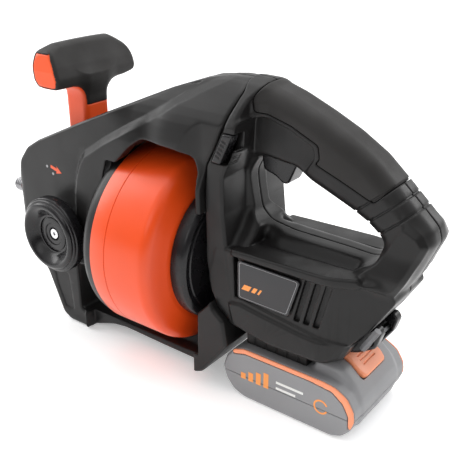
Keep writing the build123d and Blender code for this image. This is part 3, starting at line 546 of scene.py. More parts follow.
def slab(name, outline, y0, y1, mat, bevel=0.4, soft=None):
    """Flat plate with an XZ outline between y0 and y1, edges bevelled."""
    import bmesh
    bm = bmesh.new()
    vs = [bm.verts.new(M(x, y0, z)) for x, z in outline]
    f = bm.faces.new(vs)
    r = bmesh.ops.extrude_face_region(bm, geom=[f])
    mv = [v for v in r["geom"] if isinstance(v, bmesh.types.BMVert)]
    bmesh.ops.translate(bm, verts=mv, vec=(0, (y1 - y0) / 1000, 0))
    bmesh.ops.recalc_face_normals(bm, faces=bm.faces)
    me = bpy.data.meshes.new(name)
    bm.to_mesh(me)
    bm.free()
    ob = bpy.data.objects.new(name, me)
    bpy.context.scene.collection.objects.link(ob)
    me.materials.append(mat)
    if bevel:
        m = ob.modifiers.new("edge", "BEVEL")
        m.width = bevel / 1000
        m.segments = 3
        m.limit_method = "ANGLE"
        m.angle_limit = math.radians(40)
        dg = bpy.context.evaluated_depsgraph_get()
        me2 = bpy.data.meshes.new_from_object(ob.evaluated_get(dg))
        ob.modifiers.clear()
        ob.data = me2
        me2.name = name
    ob.data.polygons.foreach_set("use_smooth", np.full(len(ob.data.polygons), True))
    ob.data.set_sharp_from_angle(angle=math.radians(35))
    return ob


def put(ob, body, slot, *nodes):
    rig.ride(ob, body)
    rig.slot(ob, slot)
    if nodes:
        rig.replaces(ob, *nodes)
    return ob



# ------------------------------------------------------------------ outlines, mm from the drum's axis
SEAM = [(-134, 133.6), (-131.5, 127.8), (-132, 120), (-134, 109.7), (-142, 91), (-148, 80), (-150, 62), (-149.5, 33),
        (-149.5, 10), (-145, -12), (-139, -24), (-130, -31)]
FRAME_OUT = [(-348, -12), (-348, 28), (-343, 44), (-333, 56), (-318, 65), (-272, 86), (-229, 105),
             (-190, 122.5), (-168, 130), (-150, 133.4)] + SEAM + [
             (-127, -50), (-140, -68), (-150, -80.5), (-156, -83.5), (-200, -83), (-240, -82), (-254, -84),
             (-266, -88), (-276, -91.5), (-299, -91.5), (-307, -87), (-322, -52), (-334, -36)]
CAGE = [(-276, -140), (-276, 14.5), (-274.5, 32), (-271.5, 46), (-268, 56), (-262, 65), (-240, 79.5), (-205, 99.5), (-188, 110), (-175, 119),
        (-163, 126), (-150, 133), (-135, 150), (-60, 150), (-60, -140)]
CHAMBER = [(-284, -76.5), (-284, -28), (-262, -20), (-262, 64), (-246, 79.5), (-156.5, 79.5), (-152.5, 72),
           (-152.5, -30), (-157, -38), (-157, -76.5)]
WINDOW = [(-204, 87.5), (-214, 79.5), (-228, 65), (-239, 51), (-250, 38), (-259, 22), (-266, -2), (-266, -16),
          (-262, -26), (-284, -32), (-284, -76.5), (-172, -76.5), (-160, -70), (-156.5, -60), (-156.5, -35),
          (-143, -21), (-138, -10), (-138, 40), (-156, 47), (-155, 56), (-153, 73), (-158, 84), (-171, 87)]

# ------------------------------------------------------------------ front frame, two shells
g = Grid(-349, -108, -46, 0, -92, 136, 0.8)
d = poly(g, FRAME_OUT, 1.2)
cage = poly(g, CAGE, 1.5)
fade = 1.0 - 0.7 * np.exp(-((g.X + 200) / 13.0) ** 2) * step(70, 95, g.Z)


def barrel(z):
    return np.interp(z, [85, 92, 99.5, 105, 110, 115, 119, 122.5, 126, 129, 131.5, 133.5, 135],
                     [44, 43.2, 41.5, 39.6, 37, 33.6, 30, 26.4, 22.2, 17.8, 13.6, 8.5, 4]).astype(F)


cage_w = barrel(g.Z)
nose_w = np.minimum(38.0, cage_w - 5.5 + 5.5 * step(-150, -140, g.X))
nose_w = nose_w + (38.0 - nose_w) * step(-215, -240, g.X)
cage_w = np.minimum(cage_w, 44.0 - 6.0 * step(-172, -150, g.X) * step(60, 84, g.Z))
rise = np.clip(0.5 - cage / 6.0, 0, 1)
w = nose_w + (cage_w - nose_w) * rise * fade
low = step(-61, -66, g.Z) * step(-277, -275.4, g.X) * step(-157, -159.5, g.X)
w = w * (1 - low) + 31.0 * low
body = cham(d, g.T - w, 1.6)
plan = poly(g, rounded([(-348, -34.5), (-348, 34.5), (-336, 60), (-90, 60), (-90, -60), (-336, -60)], 0), 6.0, "xy")
body = smax(body, plan, 5.0)
# shallow channel and twin grooves along the top
topline = poly(g, FRAME_OUT, 1.6)
band = np.maximum(np.abs(g.T - (14.0 + 4.0 * step(-190, -240, g.X))) - 1.6, -(topline + 2.2))
band = np.maximum(band, np.abs(g.X + 219) - 49)
band = np.maximum(band, 40 - g.Z)
body = np.maximum(body, -band)
# chamber, windows, inner bays
cut = np.maximum(poly(g, CHAMBER, 1.2), g.T - 35.0)
room = np.interp(g.X, [-262, -247, -243, -236, -150], [42, 42, 62, 79.5, 79.5]).astype(F)
cut = np.minimum(cut, np.maximum(np.maximum(np.sqrt(g.Y ** 2 + g.Z ** 2) - room, -262 - g.X), g.X + 153))
win = poly(g, WINDOW, 2.2)
body = smax(body, -win, 1.6)
body = smax(body, -cut, 1.0)
bay = np.maximum(poly(g, [(-328, -12), (-328, 53.2), (-316, 60), (-274, 79.5), (-266, 82), (-266, -12)]), g.T - 34.5)
bay = np.minimum(bay, np.maximum(poly(g, [(-343, -12), (-343, 27), (-338.5, 42), (-327, 53.6), (-327, -12)]), g.T - 22))
bay = np.minimum(bay, np.maximum(poly(g, [(-256, 84), (-228, 99), (-190, 116.5), (-160, 127), (-124, 128),
                                          (-136, 110), (-147, 92), (-152, 90), (-210, 91)]), g.T - np.minimum(32, barrel(g.Z + 6) - 7)))
body = np.maximum(body, -bay)
# bearing boss and plunger shelf
boss = np.maximum(cyl_x(g, 0, 0, 22), np.maximum(-266 - g.X, g.X + 244))
body = smin(body, boss, 2.0)
shelf = np.maximum(np.maximum(np.abs(g.X + 298) - 17, g.T - 35), np.abs(g.Z - 36) - 2)
body = np.minimum(body, shelf)
body = np.maximum(body, -np.maximum(cyl_x(g, 0, 0, 15.1), np.maximum(-267 - g.X, g.X + 243)))
body = np.maximum(body, -np.maximum(cyl_x(g, 0, 0, 12.2), np.maximum(-352 - g.X, g.X + 338)))
body = np.maximum(body, -np.maximum(cyl_x(g, 0, 0, 24), np.maximum(-149 - g.X, g.X + 129)))
hole = rext(np.abs(g.X + 298) - 12.6, g.T - 13.6, 6.0)
body = smax(body, -np.maximum(hole, 50 - g.Z), 1.2)
body = np.maximum(body, -np.maximum(np.maximum(np.abs(g.X + 298), g.T) - 5.6, np.abs(g.Z - 36) - 4))
# leg: a shallow panel on its side face
leg = poly(g, [(-313, -46), (-296, -46), (-293, -80), (-303, -80), (-311, -60)], 1.5)
body = np.maximum(body, -np.maximum(leg, 37.1 - g.T))
left = np.maximum(body, g.Y + 0.12)
spindle = np.maximum(cyl_y(g, -290, -3, 6.3), -g.Y - 60)
left_v = smax(left, -spindle, 0.6)
front_left = field_obj("front_frame_left_shell", g, left_v, MAT["black"], 0.28)
put(front_left, "housing", "black_plastic", "front_frame_left")
# right shell: the same field mirrored, with screw wells instead of the knob's bore
right = left.copy()
for sx, sz in ((-330, 46), (-269, 74), (-300, -70), (-172, 119), (-146, -66)):
    well = np.maximum(cyl_y(g, sx, sz, 3.8), 30.0 - g.T)
    right = smax(right, -well, 0.6)
    right = np.maximum(right, -np.maximum(cyl_y(g, sx, sz, 1.7), 11 - g.T))
front_right = field_obj("front_frame_right_shell", g, right, MAT["black"], 0.28)


def mirror_y(ob):
    me = ob.data
    co = np.empty(len(me.vertices) * 3, np.float32)
    me.vertices.foreach_get("co", co)
    co[1::3] *= -1
    me.vertices.foreach_set("co", co)
    me.flip_normals()
    me.update()


mirror_y(front_right)
put(front_right, "housing", "black_plastic", "front_frame_right")

# ------------------------------------------------------------------ rear housing, two shells and the overmould
GRIP_OUT = [(-140, 133.6), (-119, 133), (-101, 127.5), (-79.5, 118.6), (-59, 109), (-40, 97.5), (-25, 84.5), (-10.5, 71.5), (0.5, 61.5),
            (2.5, 53), (-8, 28), (-14, 18), (-28, 16), (-130, 16), (-149, 30), (-149, 80), (-140, 104)]
GRIP_IN = [(-128, 78), (-132.2, 70), (-130.5, 58), (-127.5, 43), (-120, 36), (-100, 33), (-60, 32.5), (-38, 31.5), (-30.5, 36),
           (-28.5, 43), (-32.5, 50), (-42, 57), (-53, 62.5), (-69, 69), (-84, 75), (-94, 81.5), (-124, 84)]
OVERMOLD = [(-112, 142), (-118, 134.4), (-123.2, 125), (-122.5, 116), (-115, 115.6), (-96, 110.5), (-76, 101.5), (-74.5, 92.5), (-78, 89.5),
            (-58, 82), (-36, 73), (-17.5, 92), (-40, 125), (-90, 145)]
BODY_OUT = [(-152, -18), (-141, 24), (-23, 24), (-13, 14), (-28, -11), (-43, -27), (-51, -38), (-94, -39.5),
            (-128, -34)]
BLOCK = SEAM + [(-128, -34), (-119, -34), (-119, 90), (-117, 108), (-116, 124), (-117, 130.6), (-122, 133.3)]
BAND = [(-134, 140), (-131.5, 127.8), (-134, 107), (-142, 91), (-148, 80), (-152, 62), (-152, -40), (-126, -40), (-126, -8), (-129, 8),
        (-132, 30), (-134, 48), (-134.5, 73), (-129, 86), (-119.6, 105), (-117.4, 110.5), (-125, 113.4), (-124.5, 119.4),
        (-123.8, 124.3), (-121, 129), (-118.5, 135), (-118, 140)]
RINGS = ((-25.6, 84.5), (-18.2, 78), (-10.8, 71.5))


def rear_form(g):
    prof_out, prof_in = poly(g, GRIP_OUT, 2.2), poly(g, GRIP_IN, 2.4)
    ring = smax(prof_out, -prof_in, 1.0)
    hw = 17.0 - 7.5 * step(-100, -124, g.X) * step(92, 66, g.Z) - 1.0 * step(40, 24, g.Z) * step(-100, -60, g.X)
    grip = rext(ring, g.T - hw, np.minimum(11.0, hw - 3.5))
    # bolder, flatter-sided corner at the rear end
    leg = poly(g, [(-42, 27.5), (-31, 38), (-16, 66), (-4, 60), (1, 53), (-9, 28), (-14, 19), (-24, 17), (-40, 20)], 1.0)
    leg = cham(leg, g.T - (19.0 + 5.5 * step(46, 26, g.Z) + 0.12 * (g.X + 20) * 0), 3.2)
    leg = smax(leg, -prof_in, 1.0)
    grip = smin(grip, leg, 4.5)
    bandf = poly(g, BAND, 1.0)
    bw = np.minimum(38.0, barrel(g.Z))
    blockf = poly(g, BLOCK, 0.8)
    band3 = cham(np.maximum(blockf, bandf), g.T - bw, 1.8)
    wid = np.interp(g.Z, [22, 32, 46, 84, 98, 112, 122, 130], [34, 22, 9, 9, 15, 19, 19, 13]).astype(F)
    block = rext(blockf, g.T - np.minimum(wid, barrel(g.Z) - 3.0), 5.0)
    taper = 37.9 - 15.0 * step(-62, -10, g.X)
    lower = poly(g, BODY_OUT, 1.2)
    lb = rext(lower, g.T - taper, 2.5)
    lb = smax(lb, (g.Z - 24.0) * 0.92 + (g.T - 38.0) * 0.30, 1.2)
    lip = poly(g, [(-128, 19.5), (-127, 24.6), (-36, 26.6), (-32, 22), (-36, 19.5)], 0.6)
    lip = cham(lip, g.T - (38.9 - 15.0 * step(-60, -12, g.X)), 1.2)
    foot = poly(g, [(-131, -15), (-119, -13.2), (-100, -16), (-70, -19.5), (-41, -20.5), (-38, -24), (-43, -34.5), (-52, -38),
                    (-94, -39.5), (-126, -34)], 0.8)
    foot = cham(foot, g.T - (39.7 - 8.0 * step(-60, -38, g.X)), 2.6)
    side_cut = poly(g, [(-126.5, 20.2), (-20, 21.0), (-6, 12), (-38, -21.5), (-70, -17.6), (-122, -10.5)], 0.8)
    lb = smax(lb, -np.maximum(side_cut, 36.6 - 15.0 * step(-62, -10, g.X) - g.T), 0.6)
    solid = smin(band3, block, 4.5)
    solid = np.minimum(solid, foot)
    solid = smin(solid, lb, 1.0)
    solid = np.minimum(solid, np.maximum(lip, 20 - g.T))
    solid = smin(solid, grip, 5.0)
    solid = smax(solid, -prof_in, 1.4)
    seam_side = poly(g, SEAM + [(-128, -60), (-300, -60), (-300, 200), (-134, 200)], 0.8)
    solid = cham(solid, -(seam_side - 0.25), 0.6)
    low_cut = poly(g, [(-139, -24), (-130, -31), (-126, -50), (-136, -70), (-170, -70), (-170, -24)], 0.5)
    solid = np.maximum(solid, -(low_cut - 0.2))
    over = np.maximum(poly(g, OVERMOLD, 1.0), -g.Z + 60)
    sw = np.maximum(poly(g, [(-122, 104), (-120, 120), (-102, 121), (-84, 113.5), (-84, 100), (-96, 104)]), g.T - 11)
    # rings round the rear end of the grip
    for gx, gz in RINGS:
        along = (g.X - gx) * 0.66 - (g.Z - gz) * 0.75
        groove = np.maximum(np.maximum(np.abs(along) - 0.7, -(grip + 1.0)), 52 - g.Z)
        solid = np.maximum(solid, -groove)
    # scooped surround of the trigger
    scoop = poly(g, [(-127, 66), (-124.6, 112), (-116, 113.2), (-97, 107.6), (-80, 99.8), (-78.5, 92.5), (-84, 84), (-96, 70)], 1.6)
    solid = smax(solid, -np.maximum(scoop, 14.4 - g.T), 1.4)
    return solid, over, sw


g = Grid(-152, 6, -40, 0, -41, 135, 0.7)
solid, over, sw = rear_form(g)
shell = smax(solid, -(over - 0.28), 0.5)
# bays for the works
wall = solid + 2.6
bays = np.maximum(poly(g, [(-126.4, -30), (-126.4, 20.5), (-52, 20.5), (-52, -34), (-94, -36)]), g.T - 32.4)
bays = np.minimum(bays, np.maximum(poly(g, [(-53, -33), (-53, 20.5), (-30, 20.5), (-26, 12.5), (-36, -10), (-47, -24)]), g.T - 18))
bays = np.minimum(bays, np.maximum(poly(g, [(-145.3, -10), (-145.3, 60), (-136, 60), (-133, 28), (-126.4, 20.5),
                                            (-126.4, -28), (-137, -22)]), g.T - 33.5))
bays = np.maximum(bays, wall)
bays = np.minimum(bays, np.maximum(np.maximum(cyl_x(g, 0, 0, 23), -143.9 - g.X), g.X + 131))
gear_room = np.maximum(np.sqrt((g.Y + 21.87) ** 2 + (g.Z - 12.12) ** 2) - 14.2, np.maximum(-143.9 - g.X, g.X + 129.8))
bays = np.minimum(bays, gear_room)
bays = np.minimum(bays, sw)
shell = np.maximum(shell, -bays)
shell = np.maximum(shell, -np.maximum(cyl_x(g, 0, 0, 13.1), np.maximum(-153 - g.X, g.X + 143.9)))
pocket = np.maximum(poly(g, [(-125.4, 70), (-125.2, 93), (-121.5, 105), (-98, 105), (-93.6, 98), (-95.6, 70)], 0.6), g.T - 9.5)
shell = smax(shell, -pocket, 0.8)
# direction selector: pockets for the pads, a narrow way through for the bar
sel = poly(g, [(-133.6, 104.4), (-121.2, 104.4), (-131.2, 82.6), (-143.6, 82.6)], 0.4)
shell = np.maximum(shell, -np.maximum(sel, 26.5 - g.T))
shell = np.maximum(shell, -np.maximum(poly(g, [(-136.6, 97.6), (-131, 97.6), (-133.5, 88.4), (-139.6, 88.4)]), g.T - 40))
# air slots and label pocket
for x in (-69.5, -62.2, -54.9):
    slot = poly(g, [(x, 18.5), (x + 4.4, 18.5), (x - 3.2, -13.5), (x - 7.6, -13.5)], 0.4)
    shell = smax(shell, -np.maximum(slot, 33.6 - g.T), 0.4)
plate_pocket = poly(g, rounded([(-122.2, 18.9), (-71.2, 17.9), (-79.8, -11.9), (-121.8, -10.9)], 2.5), 0.2)
shell = np.maximum(shell, -np.maximum(plate_pocket, 35.9 - g.T))
dark_gap = poly(g, [(-125.6, 19.5), (-122.6, 19.5), (-121.8, -11), (-124.4, -11)], 0.3)
shell = np.maximum(shell, -np.maximum(dark_gap, 33.0 - g.T))
half = smax(shell, g.Y + 0.12, 0.8)
rear_left = field_obj("rear_housing_left_shell", g, half, MAT["black"], 0.3)
put(rear_left, "housing", "black_plastic", "rear_housing_left")
for (sx, sz), y0 in zip(((-66, 91), (-139, 62), (-46, 14), (-88, -32), (-8, 47)), (12, 30, 24, 30, 12)):
    half = smax(half, -np.maximum(cyl_y(g, sx, sz, 3.8), y0 - g.T), 0.5)
    half = np.maximum(half, -np.maximum(cyl_y(g, sx, sz, 1.7), 7.5 - g.T))
rear_right = field_obj("rear_housing_right_shell", g, half, MAT["black"], 0.3)
mirror_y(rear_right)
put(rear_right, "housing", "black_plastic", "rear_housing_right")

g2 = Grid(-125, -14, -21, 21, 64, 135, 0.7)
om, over2, sw2 = rear_form(g2)
om = smax(om, over2, 0.6)
om = np.maximum(om, -sw2)
for sx, sz in ((-66, 91),):
    om = np.maximum(om, -np.maximum(cyl_y(g2, sx, sz, 4.4), 9 - g2.Y))
over_ob = field_obj("grip_overmould_skin", g2, om, MAT["soft"], 0.35)
put(over_ob, "housing", "soft_black", "grip_overmould")


# ------------------------------------------------------------------ trigger
g3 = Grid(-126, -94, -9.2, 9.2, 65, 100, 0.4)
TRIGGER = [(-124.5, 92), (-124.2, 84), (-122.2, 74), (-118, 72.6), (-112.5, 71), (-108.5, 68.2), (-105.5, 66.8),
           (-102.5, 67.8), (-99.5, 74.5), (-96.8, 81), (-97.5, 93), (-103, 97.5), (-118, 97.5)]
tf = rext(poly(g3, TRIGGER, 0.9), g3.T - 8.6, 2.2)
tf = np.maximum(tf, -np.maximum(poly(g3, [(-121, 90), (-121, 99), (-100, 99), (-100, 90)]), g3.T - 4.2))
put(field_obj("trigger_lever", g3, tf, MAT["black_smooth"], 0.35), "trigger", "black_plastic", "trigger")

# ------------------------------------------------------------------ direction selector, a bar with ribbed pads
g4 = Grid(-145, -120, -39.7, 39.7, 81, 106, 0.45)
pad = poly(g4, [(-133.2, 104.0), (-125.6, 104.0), (-135.6, 83.0), (-143.0, 83.0)], 0.5)
padf = rext(pad, g4.T - 39.5, 1.4)
padf = np.maximum(padf, 30.5 - g4.T)
rib = (g4.X + 134) * 0.42 + (g4.Z - 93.5) * 0.907
for k in (-2, -1, 0, 1, 2):
    padf = np.maximum(padf, -np.maximum(np.maximum(np.abs(rib - 3.0 * k) - 0.45, 38.9 - g4.T), np.abs(pad + 4) - 2.4))
barf = np.maximum(poly(g4, [(-136, 97), (-131.5, 97), (-134, 89), (-139, 89)], 0.4), g4.T - 33)
sf = np.minimum(padf, barf)
put(field_obj("selector_bar", g4, sf, MAT["black_smooth"], 0.35), "selector", "black_plastic", "direction_selector")

# ------------------------------------------------------------------ T handle: orange core and soft cover
g5 = Grid(-315, -281, -43, 43, 8, 145, 0.5)
HEAD = [(-305, 107.5), (-310.5, 114), (-312, 126), (-309.5, 136), (-304.5, 141.6), (-298.5, 142.6), (-293.5, 139), (-286, 125.5),
        (-283.2, 117), (-284, 111), (-288, 107.6), (-298, 106.6)]
crown = 2.6 * (g5.T / 42.0) ** 2 + np.where(g5.Y > 0, 0.62, 0.30) * np.maximum(g5.T - 26.0, 0)
belly = np.where(g5.Y > 0, 6.0, 1.5) * (g5.T / 42.0) ** 3
hd = poly(g5, HEAD, 1.2)
top = g5.Z - (142.6 - crown)
low = (106.8 + belly) - g5.Z
headf = smax(hd, top, 5.0)
headf = smax(headf, low, 3.0)
headf = rext(headf, g5.T - (42.0 - 0.18 * np.maximum(g5.Z - 122, 0)), 3.5)
stalk = rext(np.abs(g5.X + 298) - 12.0, g5.T - 13.0, 5.0)
stalk = np.maximum(stalk, np.maximum(g5.Z - 113, 50 - g5.Z))
whole = smin(headf, stalk, 11.0)
zb = 109.6 - 17.0 * step(24, 10.5, g5.T) - 0.0 * g5.X
zb_front = 109.6 - 25.0 * step(17, 9, g5.T)
zb = np.where(g5.X > -298, zb, zb_front)
side_open = np.where(np.abs(g5.X + 298) < 10.6, 109.6, zb)
edge = step(12.4, 13.4, g5.T)
inner = np.maximum(np.maximum(hd, top), low)
end_in = np.maximum(inner + 2.0, 37.6 - g5.T)
cover_region = (side_open - g5.Z)
cover = np.maximum(whole, cover_region)
cover = np.maximum(cover, -(whole + 2.2))
cover = np.maximum(cover, -end_in)
core = whole + 2.45
core = np.minimum(core, np.maximum(whole + 0.3, -(cover_region - 0.3)))
core = np.minimum(core, np.maximum(inner + 2.2, whole + 0.5))
post = np.maximum(np.maximum(np.abs(g5.X + 298), g5.T) - 5.0, np.maximum(25 - g5.Z, g5.Z - 60))
fork = np.maximum(np.maximum(np.abs(g5.X + 298) - 6.5, g5.T - 11.2), np.maximum(g5.Z - 30, 12.6 - g5.Z))
fork = np.maximum(fork, -np.maximum(g5.T - 7.3, g5.Z - 27))
fork = np.maximum(fork, -cyl_y(g5, -298, 18.8, 2.05))
core = np.minimum(core, np.minimum(post, fork))
put(field_obj("t_handle_core_form", g5, core, MAT["orange_soft"], 0.3), "plunger", "orange_plastic", "t_handle_core")
put(field_obj("t_handle_cover_form", g5, cover, MAT["soft"], 0.3), "plunger", "soft_black", "t_handle_cover")

# ------------------------------------------------------------------ feed knob
KNOB = [(38.6, 6.3), (38.6, 12.4), (39.0, 12.9), (46.0, 13.2), (46.9, 14.4), (47.3, 27.6), (47.9, 29.2), (49.0, 30.4), (50.4, 30.9),
        (55.8, 30.9), (56.8, 30.6), (57.3, 30.1), (57.5, 29.5), (58.4, 29.3), (58.9, 28.9), (59.1, 28.2), (59.2, 27.7), (60.2, 27.4),
        (60.7, 26.9), (61.3, 26.0), (61.6, 24.9), (61.5, 23.9), (61.0, 22.9), (59.8, 21.4), (56.4, 17.4), (55.0, 16.6),
        (54.6, 16.0), (54.5, 14.8), (53.3, 14.6), (53.3, 13.8), (54.2, 13.6), (54.4, 13.0), (54.4, 9.4), (54.1, 8.9), (53.6, 8.6),
        (53.6, 5.8), (53.3, 5.3), (51.1, 5.0), (51.0, 1.78), (46.1, 1.78), (46.0, 6.3)]
put(lathe("feed_knob_dial", KNOB, (-290, 0, -3), (0, -1, 0), MAT["black_smooth"], seg=144, sharp=28), "knob", "black_plastic", "feed_knob")

# ------------------------------------------------------------------ drum
arc = [(-181.0, 75.0), (-179.2, 74.8), (-177.6, 74.2), (-176.1, 73.2), (-174.8, 71.8), (-173.9, 70.2), (-173.2, 68.2)]
DRUM = [(-227, 71.9), (-227, 74.3), (-226.6, 74.8), (-226, 75), (-213.0, 75), (-212.8, 74.85), (-212.6, 74.4), (-212.35, 74.85),
        (-212.1, 75)] + arc + [(-171.4, 62), (-170.0, 56.5), (-169.7, 55.6), (-169.7, 6.2), (-172.4, 6.2), (-172.4, 58), (-174.2, 65), (-176.4, 69.8), (-179, 71.7), (-182, 72)]
put(lathe("drum_shell_form", DRUM, (0, 0, 0), (1, 0, 0), MAT["orange"], seg=220, sharp=24), "drum", "orange_plastic", "drum_shell")
COVER = [(-258, 5.2), (-258, 10.6), (-257.5, 11), (-242, 11), (-241, 12), (-241, 30), (-240.2, 32), (-240.2, 44), (-241, 46), (-241, 57),
         (-240.4, 62), (-239, 68), (-237, 71.4), (-234, 73.4), (-231, 74.1), (-227.2, 74.2), (-227.2, 71.8), (-222, 71.7),
         (-222, 69.7), (-233, 69.6), (-236, 67), (-238, 57), (-238, 5.2)]
put(lathe("drum_cover_form", COVER, (0, 0, 0), (1, 0, 0), MAT["black"], seg=180, sharp=28), "drum", "black_plastic", "drum_front_cover")
HUB = [(-169.4, 49.2), (-169.4, 52.4), (-168.9, 53), (-160.4, 53), (-159.3, 52.6), (-157.6, 51.0), (-157.0, 50.0), (-157.4, 49.0), (-157.5, 46), (-156.7, 45.2),
       (-156.6, 32), (-156.2, 30), (-156.2, 6.2), (-160.3, 6.2), (-160.3, 47), (-161, 49.2)]
put(lathe("drum_hub_form", HUB, (0, 0, 0), (1, 0, 0), MAT["black_smooth"], seg=160, sharp=28), "drum", "black_plastic", "drum_hub")

# ------------------------------------------------------------------ nose collar and spring tip
COLLAR = [(-373, 6.6), (-373, 8.9), (-372.4, 9.6), (-371, 11.2), (-369.8, 11.8), (-366, 11.9), (-365.6, 11.4), (-364.8, 11.4), (-364.4, 11.9),
          (-361, 11.9), (-360.6, 11.4), (-359.8, 11.4), (-359.4, 11.9), (-343.2, 11.9), (-343, 12.1), (-343, 14.8), (-342.7, 15), (-339.2, 15), (-339, 14.8), (-339, 6.6)]
put(lathe("nose_collar_form", COLLAR, (0, 0, 0), (1, 0, 0), MAT["orange_soft"], seg=96, sharp=28), "housing", "orange_plastic", "nose_collar")
coil = []
for k in range(0, 4 * 26 + 1):
    a = 2 * math.pi * k / 26
    t = k / (4 * 26)
    rr = 5.5 if 0.08 < t < 0.94 else 4.6
    coil.append((-396.6 + 9.4 * t, rr * math.cos(a), rr * math.sin(a)))
tip = tube("spring_tip_coil", coil, 1.15, MAT["spring"], seg=10)
put(tip, "drum", "steel", "spring_tip")

# ------------------------------------------------------------------ label plates, blank, with a painted bevel highlight line and bars
plates = []
PL = rounded([(-121.4, 18.1), (-71.9, 17.1), (-80.3, -11), (-121.1, -10.1)], 2.2)


def inset(pts, k):
    cx = sum(p[0] for p in pts) / len(pts)
    cz = sum(p[1] for p in pts) / len(pts)
    out = []
    for x, z in pts:
        d = math.hypot(x - cx, z - cz)
        out.append((x + (cx - x) * k / d, z + (cz - z) * k / d))
    return out


for sgn, tag in ((-1, "left"), (1, "right")):
    plates.append(slab("label_plate_" + tag, PL, sgn * 37.25, sgn * 38.3, MAT["plate"], 0.25))
    put(plates[-1], "housing", "plate_black", "label_plates")
    # thin silver ring just inside the plate's edge: a painted highlight standing for the light on the plate's bevel
    ring = PL + [PL[0]]
    inner = inset(PL, 1.6)
    inner2 = inset(PL, 2.0)
    q = []
    co = []
    for a, b in zip(inner, inner2):
        co += [M(a[0], sgn * 38.36, a[1]), M(b[0], sgn * 38.36, b[1]), M(a[0], sgn * 38.2, a[1]), M(b[0], sgn * 38.2, b[1])]
    m = len(inner)
    for i in range(m):
        j = (i + 1) % m
        q += [(4 * i, 4 * j, 4 * j + 1, 4 * i + 1), (4 * i + 2, 4 * i + 3, 4 * j + 3, 4 * j + 2),
              (4 * i, 4 * i + 2, 4 * j + 2, 4 * j), (4 * i + 1, 4 * j + 1, 4 * j + 3, 4 * i + 3)]
    if sgn > 0:
        q = [t[::-1] for t in q]
    line = mesh_obj("label_painted_bevel_highlight_" + tag, np.array(co), np.array(q), MAT["silver_print_and_painted_highlight"], smooth=False)
    put(line, "housing", "plate_black")
    mk = -1 if sgn < 0 else 1
    for i, (xa, xb, h) in enumerate(((-115.5, -109.5, 4.4), (-107.5, -104.5, 4.4), (-102.5, -101, 4.4))):
        bar = slab("label_bar_%s_%d" % (tag, i), [(xa, 1.5), (xb, 1.4), (xb - 2.4, -7.0 + h), (xa - 2.4, -6.9 + h)][::1],
                   sgn * 38.25, sgn * 38.38, MAT["label_orange"], 0)
        put(bar, "housing", "plate_black")

# ------------------------------------------------------------------ small mark by the nose: an arrow and two dots
arrow = [(-304.5, 47.2), (-297.5, 45.4), (-297.8, 47.4), (-292.5, 42.6), (-298.6, 41.2), (-298.2, 43.0), (-304.9, 44.8)]
put(slab("nose_arrow", arrow, -37.9, -38.12, MAT["label_orange_deep"], 0), "housing", "black_plastic")
for cx, cz in ((-309.0, 45.2), (-302.6, 40.2)):
    dot = [(cx + 1.15 * math.cos(2 * math.pi * k / 20), cz + 1.15 * math.sin(2 * math.pi * k / 20)) for k in range(20)]
    put(slab("nose_dot_%d" % int(-cx), dot, -37.9, -38.12, MAT["silver_print_and_painted_highlight"], 0), "housing", "black_plastic")

# ------------------------------------------------------------------ battery pack
g6 = Grid(-135.5, -26, -38.5, 38.5, -92, -40, 0.6)
PACK_OUT = [(-134.7, -71), (-131.5, -81), (-125, -88.2), (-116, -91.5), (-44, -91.5), (-36, -88.5), (-30, -82),
            (-27, -74), (-27.5, -66), (-33, -57), (-42, -52), (-52, -50.6), (-116, -50.4), (-125, -53.5), (-131.5, -61)]
HUMP = [(-60, -60), (-66.5, -50.4), (-63, -42.2), (-60, -41), (-52, -40.8), (-43, -44.6), (-34, -52.5), (-28.4, -62), (-27.2, -74), (-30, -84), (-40, -86)]
side_face = rext(poly(g6, PACK_OUT, 1.4), g6.T - 38.0, 2.6)
# the side shells stand proud of a slimmer waist at the rear
waist = rext(poly(g6, [(-60, -90), (-60, -50), (-40, -50), (-24, -60), (-24, -80), (-34, -92)], 1.0), g6.T - 30.0, 2.0)
hump = rext(poly(g6, HUMP, 1.2), g6.T - (28.0 - 3.0 * step(-46, -41, g6.Z)), 4.5)
pack = smin(side_face, hump, 2.6)
rail = np.maximum(np.maximum(-115.4 - g6.X, g6.X + 65.4), np.minimum(
    np.maximum(g6.T - 19.6, np.abs(g6.Z + 48.2) - 2.8), np.maximum(g6.T - 23.6, np.abs(g6.Z + 43.95) - 1.65)))
pack = np.minimum(pack, rail)
for yy in (-13, -5, 5, 13):
    pack = np.maximum(pack, -np.maximum(np.maximum(np.abs(g6.X + 108) - 8.5, np.abs(g6.Y - yy) - 1.1), np.abs(g6.Z + 42) - 4))
# the coloured stripe and the channel it sits in
path = [(-126, -54.6), (-116, -52.1), (-62, -52.1), (-43, -53.5), (-33.6, -61.2), (-29.4, -70), (-28.8, -78)]
outer_sdf = poly(g6, PACK_OUT, 1.4)
STR = [(-127, -53.2), (-116, -50.2), (-62, -50.2), (-42, -51.9), (-32.4, -57.6), (-27.4, -66), (-27.0, -79.5), (-31.0, -79.5), (-31.6, -70), (-36.0, -62.2),
       (-44.5, -56.0), (-62, -54.4), (-115, -54.4), (-124.6, -57.2)]
strip = np.maximum(poly(g6, STR, 0.5), 36.6 - g6.T)
channel = np.maximum(poly(g6, STR, 0.5) - 0.35, 36.4 - g6.T)
case = np.maximum(pack, -channel)
# finger ribs low on the rear end
for k in range(5):
    a = math.radians(-8 - 17 * k)
    cx, cz = -39.5 + 13.6 * math.cos(a), -76.5 + 13.6 * math.sin(a)
    case = np.maximum(case, -np.maximum(cyl_y(g6, cx, cz, 1.5), g6.T - 26.0))
